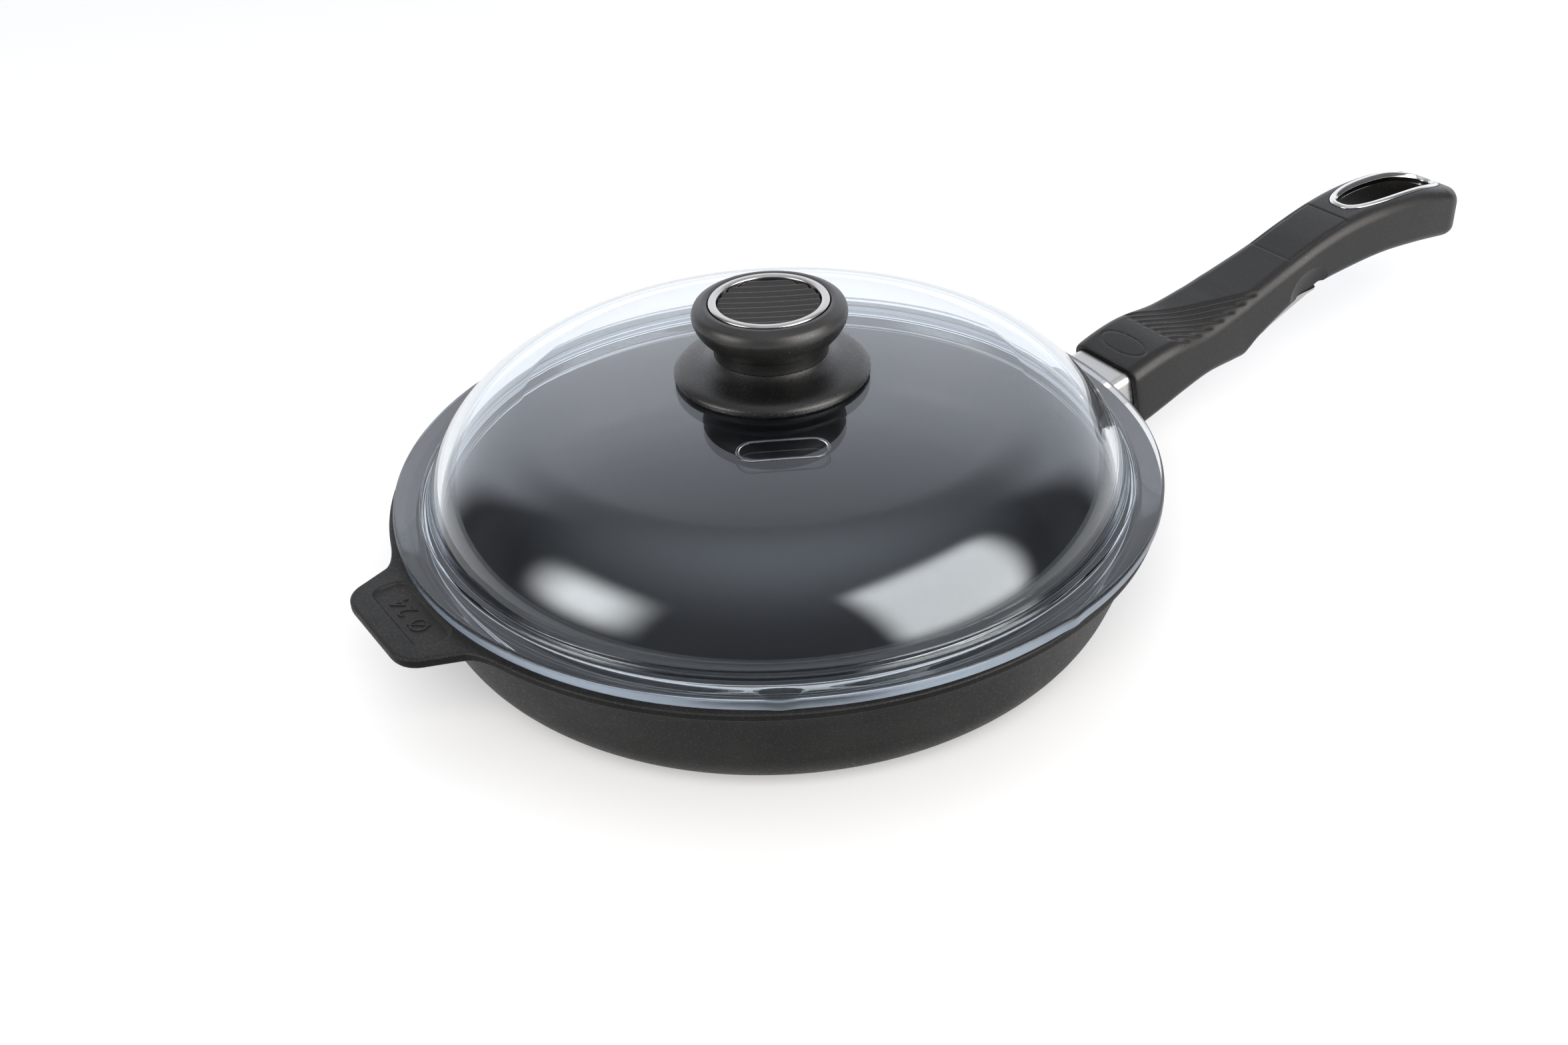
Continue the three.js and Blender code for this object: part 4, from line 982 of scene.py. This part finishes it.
def handle_skin():
    """Handle without its hollows."""
    rows = []
    lengths = run_lengths(TOP_SAMPLES)
    places = np.linspace(0, lengths[-1], SKIN_ROWS)
    shares = np.interp(places, lengths, np.linspace(0, 1, len(lengths)))
    for share in shares:
        top = smooth_point(TOP_LINE, share)
        bottom = smooth_point(BOTTOM_LINE, share)
        rows.append(handle_ring(top, bottom, smooth_point(WIDTH_LINE, share)[1], 0.0))
    last_top, last_bottom, last_half = HANDLE_STATIONS[-1]
    for k in range(1, SKIN_END_ROWS + 1):
        turn = math.pi / 2 * k / SKIN_END_ROWS
        along = math.sin(turn)
        top = np.array(last_top) * (1 - along) + HANDLE_END_TOP * along
        bottom = np.array(last_bottom) * (1 - along) + HANDLE_END_BOTTOM * along
        left = max(0.0, END_EDGE_RADIUS - END_PLAN_RADIUS * (1 - along))
        inset = END_EDGE_RADIUS - math.sqrt(END_EDGE_RADIUS ** 2 - left ** 2)
        half = last_half - END_PLAN_RADIUS * (1 - math.cos(turn))
        rows.append(handle_ring(top, bottom, half, inset))
    return surface("handle", from_handle(closed_ends(rows)))


def oval(half_length, half_width):
    """Oval between an ellipse and a rounded rectangle, as (along, across) points."""
    angles = round_angles(160)
    power = 2 / LOOP_ROUNDNESS
    along = half_length * np.sign(np.cos(angles)) * np.abs(np.cos(angles)) ** power
    across = half_width * np.sign(np.sin(angles)) * np.abs(np.sin(angles)) ** power
    return np.stack([along, across], axis=-1)


def from_loop(points):
    """Points of the loop's own tilted frame in the frame of the handle."""
    return tilted(points, (LOOP_PLACE, handle_top(LOOP_PLACE)), -LOOP_TILT)


def loop_height(outline):
    """Height in the loop's frame at which points of an oval meet the handle's top line."""
    height = np.zeros(len(outline))
    for _ in range(12):
        spot = from_loop(np.column_stack([outline, height]))
        height = height + (handle_top(spot[:, 0]) - spot[:, 2]) / math.cos(LOOP_TILT)
    return height


def make_handle(material):
    """Moulded handle with its socket, lever room, finger scoop, side dishes and hanging hole."""
    sleeve = LOOP_LIP - 0.05
    hole = oval(LOOP_HALF_LENGTH - sleeve, LOOP_HALF_WIDTH - sleeve)
    rows = [from_loop(np.column_stack([hole, np.full(len(hole), h)])) for h in (-40, 20)]
    hole = surface("hole", from_handle(closed_ends(rows)))
    seat = oval(LOOP_HALF_LENGTH + LOOP_SEAM, LOOP_HALF_WIDTH + LOOP_SEAM)
    seat_height = loop_height(seat) - LOOP_SUNK
    rows = [from_loop(np.column_stack([seat, seat_height + lift])) for lift in (0, 6)]
    side = LEVER_HALF_WIDTH
    low = -32.0
    knuckle = (PIVOT[0] + KNUCKLE_ROOM, side + 0.01, PIVOT[1] + KNUCKLE_ROOM)
    window = (TAB_ROOM[1], TAB_HALF_WIDTH, -STUB_HALF_HEIGHT + 1)
    dish_side = DISH_HALF_WIDTH + DISH_RADIUS - DISH_DEPTH
    dishes = [ball(DISH_RADIUS, (DISH_PLACE[0], y, DISH_PLACE[1])) for y in (-dish_side, dish_side)]
    cutters = [
        hole,
        surface("seat", from_handle(closed_ends(rows))),
        stub_form(HANDLE_FRONT - 1, SOCKET_END),
        handle_block((LEVER_FRONT, -side, low), (PIVOT[0] + 1, side, LEVER_TOP + 1.6)),
        handle_block((PIVOT[0] - KNUCKLE_ROOM, -side - 0.01, low - 1), knuckle),
        handle_block((PIVOT[0], -side, low + 1), (LEVER_BEND, side, LEVER_TOP + 0.3)),
        handle_block((TAB_ROOM[0], -TAB_HALF_WIDTH, low), window),
        bar(PIN_ROOM, 1, PIVOT, -PIN_BLIND_END, 40, 64),
        bar(SCOOP_RADIUS, 1, SCOOP_PLACE, -40, 40, 160),
        *dishes,
        tongue_room(),
    ]
    handle = cut(handle_skin(), cutters)
    dress(handle, "handle", "handle_shell", "handle_moulding", material)


def tongue_underside(place):
    """Height of the lever's tail at a place along it."""
    return TONGUE_UNDERSIDE + TONGUE_SLOPE * (place - LEVER_BEND)


def tongue_side(place):
    """Height of the tail's turned-up sides: low at the bend and at the tip, tall between."""
    tall = smooth_step(*TONGUE_RISES, place) * (1 - smooth_step(TONGUE_FALLS_FROM, TONGUE_TIP, place))
    return TONGUE_SIDE_LOW + TONGUE_SIDE_RISE * tall


def tongue_half_width(place):
    """Half width of the tail in plan, rounded off at its tip."""
    narrow = LEVER_HALF_WIDTH - 0.3
    widened = narrow + (TONGUE_HALF_WIDTH - narrow) * smooth_step(*TONGUE_WIDENS, place)
    over = max(0.0, place - (TONGUE_TIP - TONGUE_CORNER))
    return widened - TONGUE_CORNER + math.sqrt(TONGUE_CORNER ** 2 - over ** 2)


def tongue_room():
    """Room in the moulding for the lever's tail."""
    rows = []
    for place in np.linspace(TONGUE_RISES[0], TONGUE_TIP + 1.2, 60):
        half = TONGUE_HALF_WIDTH + TONGUE_ROOM
        low = tongue_underside(place) - 8
        high = tongue_underside(place) + tongue_side(min(place, TONGUE_TIP)) + TONGUE_ROOM
        rows.append([(place, y, z) for y, z in section(half, low, high, 0.5, 0.5, 60)])
    return surface("tongue_room", from_handle(closed_ends(rows)))


def make_tongue(material):
    """Lever's tail: a thin tongue with rounded, turned-up sides."""
    rows = []
    for place in np.concatenate([np.linspace(TONGUE_START, 108, 50), np.linspace(108.5, TONGUE_TIP, 24)]):
        half = tongue_half_width(place)
        low = tongue_underside(place)
        side = tongue_side(place)
        bend = min(TONGUE_BEND, side - 0.1)
        sheet = min(TONGUE_SHEET, bend - 0.2)
        right = [(0.0, low)] + arc(half - bend, low + bend, bend, -math.pi / 2, 0, 8) + [(half, low + side)]
        inner = [(half - sheet, low + side)] + arc(half - bend, low + bend, bend - sheet, 0, -math.pi / 2, 8)
        right += inner + [(0.0, low + sheet)]
        left = [(-y, z) for y, z in right[-2:0:-1]]
        rows.append([(place, y, z) for y, z in right + left])
    tongue = surface("lever_tongue", from_handle(closed_ends(rows)), 50)
    dress(tongue, "catch", None, "plain_steel", material)


def make_spring(material):
    """Small compression spring between handle and lever."""
    bottom = LEVER_TOP + SPRING_WIRE + SPRING_SEAT
    top = SPRING_TOP - SPRING_WIRE
    around = round_angles(12)
    rows = []
    for share in np.linspace(0, 1, 24 * SPRING_TURNS + 1):
        turn = 2 * math.pi * SPRING_TURNS * share
        reach = SPRING_RADIUS + SPRING_WIRE * np.cos(around)
        height = bottom + (top - bottom) * share + SPRING_WIRE * np.sin(around)
        ring = [SPRING_PLACE + reach * math.cos(turn), reach * math.sin(turn), height]
        rows.append(np.stack(ring, axis=-1))
    coil = surface("lever_coil", from_handle(closed_ends(rows)), 60)
    dress(coil, "handle", "lever_spring", "plain_steel", material)
    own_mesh(coil)


def make_loop(material):
    """Polished band round the hanging hole: crowned lip on the handle's top and a sleeve down through it."""
    profile = rounded([
        (LOOP_LIP - LOOP_SHEET, -LOOP_SUNK), (0.0, -LOOP_SUNK), (0.0, 0.2, 0.3), (0.7, LOOP_CROWN, 0.6),
        (1.9, LOOP_CROWN, 0.9), (LOOP_LIP, -0.7, 1.3), (LOOP_LIP, -LOOP_SKIRT, 0.35),
        (LOOP_LIP - LOOP_SHEET, -LOOP_SKIRT, 0.35), (LOOP_LIP - LOOP_SHEET, -LOOP_SUNK),
    ], 5)
    rows = []
    for inward, lift in profile:
        outline = oval(LOOP_HALF_LENGTH - inward, LOOP_HALF_WIDTH - inward)
        height = loop_height(outline) + lift
        rows.append(from_loop(np.column_stack([outline, height])))
    loop = surface("loop", from_handle(rows), 50)
    dress(loop, "handle", "hanging_loop", "polished_steel", material)


# Lid
def glass_profile():
    """Outline of the pressed glass: dome, flange with a low bead at the dome's foot, and plug ring."""
    crown_centre = DOME_TOP - CROWN_RADIUS
    reach = math.hypot(DOME_FOOT_RADIUS, FLANGE_TOP - crown_centre)
    between = CROWN_RADIUS - SHOULDER_RADIUS
    cosine = (between ** 2 + reach ** 2 - SHOULDER_RADIUS ** 2) / (2 * between * reach)
    turn = math.atan2(DOME_FOOT_RADIUS, FLANGE_TOP - crown_centre) - math.acos(cosine)
    centre_r = between * math.sin(turn)
    centre_z = crown_centre + between * math.cos(turn)
    foot = math.asin((FLANGE_TOP + BEAD_HEIGHT - centre_z) / SHOULDER_RADIUS)
    inner_shoulder = SHOULDER_RADIUS - GLASS_THICKNESS
    inner_crown = CROWN_RADIUS - GLASS_THICKNESS
    inner_foot = math.asin((PLUG_BOTTOM + PLUG_EDGE - centre_z) / inner_shoulder)
    start = math.pi / 2 - math.asin(LID_HOLE_RADIUS / CROWN_RADIUS)
    inner_start = math.pi / 2 - math.asin(LID_HOLE_RADIUS / inner_crown)
    shoulder = math.pi / 2 - turn
    profile = arc(0, crown_centre, CROWN_RADIUS, start, shoulder, 20)[:-1]
    profile += arc(centre_r, centre_z, SHOULDER_RADIUS, shoulder, foot, 44)
    foot_r = profile[-1][0]
    inner_r = inner_shoulder * math.cos(inner_foot) + centre_r
    profile += rounded([
        (foot_r, FLANGE_TOP + BEAD_HEIGHT), (foot_r + 0.35, FLANGE_TOP + 0.35, 1.1),
        (foot_r + 2.3, FLANGE_TOP + 0.3, 0.4), (foot_r + 2.9, FLANGE_TOP - 0.5, 0.5),
        (FLANGE_RADIUS, FLANGE_TOP - 0.25, FLANGE_EDGE_ROUNDING),
        (FLANGE_RADIUS, FLANGE_SEAT + FLANGE_LIFT, FLANGE_EDGE_ROUNDING / 2),
        (PLUG_RADIUS, FLANGE_SEAT - FLANGE_DIP, 0.8), (PLUG_RADIUS - 0.6, PLUG_BOTTOM, 0.9),
        (inner_r - 0.2, PLUG_BOTTOM, 0.8), (inner_r, PLUG_BOTTOM + PLUG_EDGE),
    ], 5)[1:-1]
    profile += arc(centre_r, centre_z, inner_shoulder, inner_foot, shoulder, 40)
    profile += arc(0, crown_centre, inner_crown, shoulder, inner_start, 16)[1:]
    profile.append(profile[0])
    return profile


def make_glass(material):
    """Glass dome with its flange."""
    angles = round_angles(384)
    swell = np.zeros_like(angles)
    for mark in MOULD_MARKS:
        off = np.angle(np.exp(1j * (angles - math.radians(mark)))) * FLANGE_RADIUS
        swell += MARK_DEPTH * np.exp(-(off / MARK_WIDTH) ** 2)
    rows = []
    for radius, height in glass_profile():
        on_edge = smooth_step(FLANGE_RADIUS - 2.0, FLANGE_RADIUS, radius)
        rows.append(level_ring(radius + on_edge * swell, height, angles, LID_SHIFT))
    glass = surface("lid_dome", rows, 60)
    dress(glass, "lid", "lid_glass", "lid_glass", material)


def frame_outline(grow):
    """Long oval with straight sides on the dome, widened all round by grow."""
    straight = FRAME_HALF_LENGTH - FRAME_HALF_WIDTH
    reach = FRAME_HALF_WIDTH + grow
    points = []
    for side in (1, -1):
        for a in np.linspace(-math.pi / 2, math.pi / 2, 41):
            points.append((side * (straight + reach * math.cos(a)), side * reach * math.sin(a)))
        for share in np.linspace(0, 1, 26)[1:-1]:
            points.append((side * straight * (1 - 2 * share), side * reach))
    along, across = np.array(points).T
    x = FRAME_PLACE[0] + along * math.cos(FRAME_TURN) - across * math.sin(FRAME_TURN)
    y = FRAME_PLACE[1] + along * math.sin(FRAME_TURN) + across * math.cos(FRAME_TURN)
    return x, y


def make_lid_frame(material):
    """Bare oval bead on the dome in front of the knob."""
    rows = []
    for a in np.linspace(0, math.pi, 7):
        x, y = frame_outline(FRAME_LINE * math.cos(a))
        crown = CROWN_RADIUS + FRAME_GAP + FRAME_RISE * math.sin(a)
        z = DOME_TOP - CROWN_RADIUS + np.sqrt(crown ** 2 - (x - LID_SHIFT) ** 2 - y ** 2)
        rows.append(np.stack([x, y, z], axis=-1))
    rows.append(rows[0])
    bead = surface("lid_frame", rows, 50)
    dress(bead, "lid", None, "lid_glass", material)


# Knob
def make_knob_base(material):
    """Bell-shaped collar, hollow under its skirt."""
    spread = KNOB_BASE_RADIUS - NECK_RADIUS
    low = KNOB_BASE_FOOT + KNOB_EDGE
    rise = KNOB_BASE_TOP - low
    flank = smooth_curve([(KNOB_BASE_RADIUS - a * spread, low + b * rise) for a, b in KNOB_FLANK], 40)
    skirt = KNOB_BASE_RADIUS - KNOB_SKIRT
    profile = [(KNOB_BORE, KNOB_ROOF), (skirt, KNOB_ROOF), (skirt, KNOB_BASE_FOOT)]
    profile += [(KNOB_BASE_RADIUS - 0.35, KNOB_BASE_FOOT), (KNOB_BASE_RADIUS - 0.05, KNOB_BASE_FOOT + 0.25)]
    profile += flank
    profile += [(KNOB_BORE, KNOB_BASE_TOP), (KNOB_BORE, KNOB_ROOF)]
    dress(turned("knob_collar", profile, 160), "lid", "knob_base", "knob_moulding", material)


def make_knob_grip(material):
    """Round head over a steeper neck, with a groove for the ring and a well for the ribbed disc."""
    spread = GRIP_RADIUS - NECK_RADIUS
    height = GRIP_TOP - GRIP_FOOT
    neck = [(0.0, 0.0), (0.04, 0.1), (0.15, 0.23)]
    head = [(0.15, 0.23), (0.42, 0.34), (0.71, 0.47), (0.91, 0.61), (1.0, 0.77)]
    crown = [(GRIP_RADIUS - 0.3 * GRIP_TOP_ROUNDING, 0.92), (GRIP_RADIUS - GRIP_TOP_ROUNDING, 1.0)]
    neck = [(NECK_RADIUS + share * spread, GRIP_FOOT + rise * height) for share, rise in neck]
    head = [(NECK_RADIUS + share * spread, GRIP_FOOT + rise * height) for share, rise in head]
    head += [(radius, GRIP_FOOT + rise * height) for radius, rise in crown]
    flank = [*smooth_curve(neck, 12), *smooth_curve(head, 56)[1:]]
    well = INSERT_BOTTOM - 0.2
    groove = RING_FOOT - 0.2
    bore_top = GRIP_FOOT + NUT_DEPTH
    profile = [(NUT_BORE, GRIP_FOOT), *flank]
    profile += [(RING_OUTER + 0.7, GRIP_TOP), (RING_OUTER + 0.35, GRIP_TOP - 0.25)]
    profile += [(RING_OUTER + 0.3, groove), (RING_INNER, groove), (RING_INNER, well), (0, well)]
    profile += [(0, bore_top), (NUT_BORE, bore_top), (NUT_BORE, GRIP_FOOT)]
    dress(turned("knob_head", profile, 160), "lid", "knob_grip", "knob_moulding", material)


def make_knob_ring(material):
    """Steel ring with a rounded crown."""
    profile = rounded([
        (RING_INNER, RING_FOOT), (RING_INNER, RING_TOP - 0.4, 0.5), (RING_INNER + 0.9, RING_TOP, 1.2),
        (RING_OUTER - 0.5, RING_TOP, 0.8), (RING_OUTER, RING_TOP - 0.5, 0.5), (RING_OUTER, RING_FOOT),
    ], 6)
    profile.append(profile[0])
    dress(turned("knob_trim", profile, 200), "lid", "knob_ring", "polished_steel", material)


def make_knob_insert(material):
    """Slightly dished disc with straight rounded ridges across it."""
    radius = RING_INNER - DISC_GAP
    angles = round_angles(280)
    pitch = 2 * radius / RIDGE_COUNT
    valley = INSERT_TOP - RIDGE_HEIGHT
    under = ((0, INSERT_BOTTOM), (radius, INSERT_BOTTOM), (radius, valley - 0.5))
    rows = [level_ring(r, height, angles, LID_SHIFT) for r, height in under]
    for r in np.linspace(radius, 0, 66):
        across = r * np.sin(angles - RIDGE_TURN)
        phase = (across + radius) / pitch % 1.0
        ridge = RIDGE_HEIGHT * np.abs(np.sin(math.pi * phase))
        dish = DISC_DISH * (1 - (r / radius) ** 2)
        rim = DISC_EDGE_DROP * smooth_step(radius - 0.6, radius, r)
        rows.append(level_ring(r, valley + ridge - dish - rim, angles, LID_SHIFT))
    insert = surface("knob_disc", rows, 55)
    dress(insert, "lid", "knob_insert", "knob_moulding", material)


def finish_node(name, material):
    """Give a CAD node its finish."""
    node = frame["nodes"][name]
    node.data.materials.clear()
    node.data.materials.append(material)
    shade(node.data, 35)


# Stage
def direction(azimuth, elevation):
    """Unit vector towards an azimuth and an elevation."""
    level = math.cos(elevation)
    return Vector((level * math.cos(azimuth), level * math.sin(azimuth), math.sin(elevation)))


def make_floor():
    """Plain white floor that keeps the object's shadow."""
    half = FLOOR_HALF_WIDTH
    corners = [(-half, -half, 0), (half, -half, 0), (half, half, 0), (-half, half, 0)]
    mesh = bpy.data.meshes.new("floor")
    mesh.from_pydata(corners, [], [(0, 1, 2, 3)])
    floor = placed("floor", mesh)
    floor.location.z = -0.0003
    material, tree, shader = node_material("floor_white")
    path = added(tree, "LightPath", {})
    seen = calculated(tree, "ADD", path["Is Camera Ray"], path["Is Glossy Ray"])
    seen = calculated(tree, "MINIMUM", calculated(tree, "ADD", seen, path["Is Transmission Ray"]), 1)
    fed(tree, shader, {
        "Base Color": (0.7, 0.7, 0.7, 1),
        "Roughness": 1.0,
        "Specular IOR Level": 0.0,
        "Emission Color": (1, 1, 1, 1),
        "Emission Strength": calculated(tree, "MULTIPLY", seen, FLOOR_GLOW),
    })
    mesh.materials.append(material)


def make_world():
    """Studio round the object: pale backdrop behind it, dimmer room in front and a soft ceiling."""
    world = bpy.data.worlds.new("studio")
    bpy.context.scene.world = world
    world.use_nodes = True
    tree = world.node_tree
    split = added(tree, "SeparateXYZ", {"Vector": added(tree, "TexCoord", {})["Generated"]})
    flat = tree.nodes.new("ShaderNodeVectorMath")
    flat.operation = "NORMALIZE"
    fed(tree, flat, {0: added(tree, "CombineXYZ", {"X": split["X"], "Y": split["Y"]})["Vector"]})
    facing = tree.nodes.new("ShaderNodeVectorMath")
    facing.operation = "DOT_PRODUCT"
    fed(tree, facing, {0: flat.outputs["Vector"], 1: direction(BACKDROP_AZIMUTH, 0)})
    outer, inner = (math.cos(side) for side in BACKDROP_SIDES)
    low, high = (math.sin(height) for height in BACKDROP_FADE)
    behind = eased(tree, facing.outputs["Value"], outer, inner, 0, 1)
    below = eased(tree, split["Z"], low, high, 1, 0)
    rise = calculated(tree, "POWER", calculated(tree, "MAXIMUM", split["Z"], 0), 4)
    room = calculated(tree, "ADD", rise, ROOM_LEVEL)
    mask = calculated(tree, "MULTIPLY", behind, below)
    wall = calculated(tree, "MULTIPLY", mask, BACKDROP_LEVEL)
    rest = calculated(tree, "MULTIPLY", calculated(tree, "SUBTRACT", 1, mask), room)
    level = calculated(tree, "ADD", wall, rest)
    fed(tree, tree.nodes["Background"], {"Color": (0.97, 0.99, 1.05, 1), "Strength": level})


def make_softbox(name, azimuth, elevation, distance, width, height, radiance, soft):
    """Area light that faces the lid from a direction in degrees, fading over a share of its edges."""
    light = bpy.data.lights.new(name, "AREA")
    light.color = LAMP_COLOUR
    light.shape = "RECTANGLE"
    light.size = width
    light.size_y = height
    light.energy = radiance * math.pi * width * height
    light.use_nodes = True
    tree = light.node_tree
    split = added(tree, "SeparateXYZ", {"Vector": added(tree, "NewGeometry", {})["Parametric"]})
    share = 1.0
    for axis in ("X", "Y"):
        off = calculated(tree, "ABSOLUTE", calculated(tree, "SUBTRACT", split[axis], 0.5), 0)
        share = calculated(tree, "MULTIPLY", share, eased(tree, off, 0.5 - soft / 2, 0.5, 1, 0))
    fed(tree, tree.nodes["Emission"], {"Strength": share})
    lamp = placed(name, light)
    away = direction(math.radians(azimuth), math.radians(elevation))
    turn = away.to_track_quat("Z", "Y").to_matrix().to_4x4()
    lamp.matrix_world = Matrix.Translation(Vector(LAMP_AIM) + away * distance) @ turn
    return lamp


def make_camera():
    """Camera at the photograph's viewpoint."""
    ahead = direction(CAMERA_AZIMUTH, CAMERA_PITCH)
    right = direction(CAMERA_AZIMUTH - math.pi / 2, 0)
    up = right.cross(ahead)
    across = right * math.cos(CAMERA_ROLL) - up * math.sin(CAMERA_ROLL)
    upward = right * math.sin(CAMERA_ROLL) + up * math.cos(CAMERA_ROLL)
    data = bpy.data.cameras.new("camera")
    data.lens = CAMERA_LENS
    data.sensor_width = 36.0
    data.sensor_fit = "HORIZONTAL"
    data.clip_start = 0.01
    camera = placed("camera", data)
    turn = Matrix((across, upward, -ahead)).transposed().to_4x4()
    camera.matrix_world = Matrix.Translation(Vector(CAMERA_PLACE) * MM) @ turn
    bpy.context.scene.camera = camera


make_camera()
make_floor()
make_world()
make_softbox("right_softbox", -68, 26, 1.5, 1.6, 1.8, 0.8, 0.45)
make_softbox("right_panel", -68, 26, 1.53, 1.63, 1.83, 7.0, 0.45).visible_diffuse = False
make_softbox("left_panel", 175, 22, 1.3, 1.15, 1.05, 9.5, 0.9).visible_diffuse = False
fill = make_softbox("front_fill", -122, 42, 1.6, 1.6, 0.8, 6.5, 0.3)
fill.visible_glossy = False
fill.visible_transmission = False

# Lighter coat painted on the upward-facing tops of rim and ear and on the size number: painted light
lit_top_finish = lit_top_coat()
plain_steel = metal("plain_steel", (0.62, 0.62, 0.61), 0.22, 0.36, (80, 900, 900), 0.00001)
make_pan(outside_coat(), inside_coat(), base_metal(), lit_top_finish)
size_number(lit_top_finish)
make_stub(metal("bare_aluminium", (0.52, 0.515, 0.505), 0.26, 0.32, (900, 900, 900), 0.000003))
handle_finish = ((0.0015, 0.0014, 0.0013), (0.012, 0.0115, 0.011), 0.36, 0.48, 3000, 0.00003, 0.1, 0.4)
make_handle(grained("handle_moulding", *handle_finish))
make_loop(metal("polished_steel", (0.6, 0.59, 0.575), 0.06, 0.12, (300, 300, 300), 0.000004))
glass = clear_glass()
make_glass(glass)
make_lid_frame(glass)
collar_finish = ((0.0005, 0.0005, 0.0005), (0.008, 0.0078, 0.0075), 0.28, 0.4, 2600, 0.00006, 0.16, 0.5)
make_knob_base(grained("knob_collar", *collar_finish))
grip_finish = ((0.008, 0.008, 0.0078), (0.021, 0.0205, 0.02), 0.36, 0.46, 3000, 0.00002, 0.08, 0.5)
grip = grained("knob_moulding", *grip_finish)
make_knob_grip(grip)
make_knob_ring(metal("brushed_ring", (0.44, 0.43, 0.42), 0.18, 0.28, (300, 300, 300), 0.000006))
make_knob_insert(grip)
silicone = rubber()
steel_nodes = ("stub_screw_left", "stub_screw_right", "stub_washer_left", "stub_washer_right", "catch_lever")
for name in (*steel_nodes, "lever_pin", "screw_washer", "knob_screw"):
    finish_node(name, plain_steel)
for name in ("knob_seal", "inner_seal"):
    finish_node(name, silicone)
finish_node("knob_nut", metal("brass", (0.72, 0.53, 0.22), 0.25, 0.35, (400, 400, 400), 0.00001))
make_spring(plain_steel)
make_tongue(metal("lever_steel", (0.42, 0.415, 0.4), 0.26, 0.4, (80, 900, 900), 0.00001))

bpy.context.scene.view_settings.view_transform = "Standard"
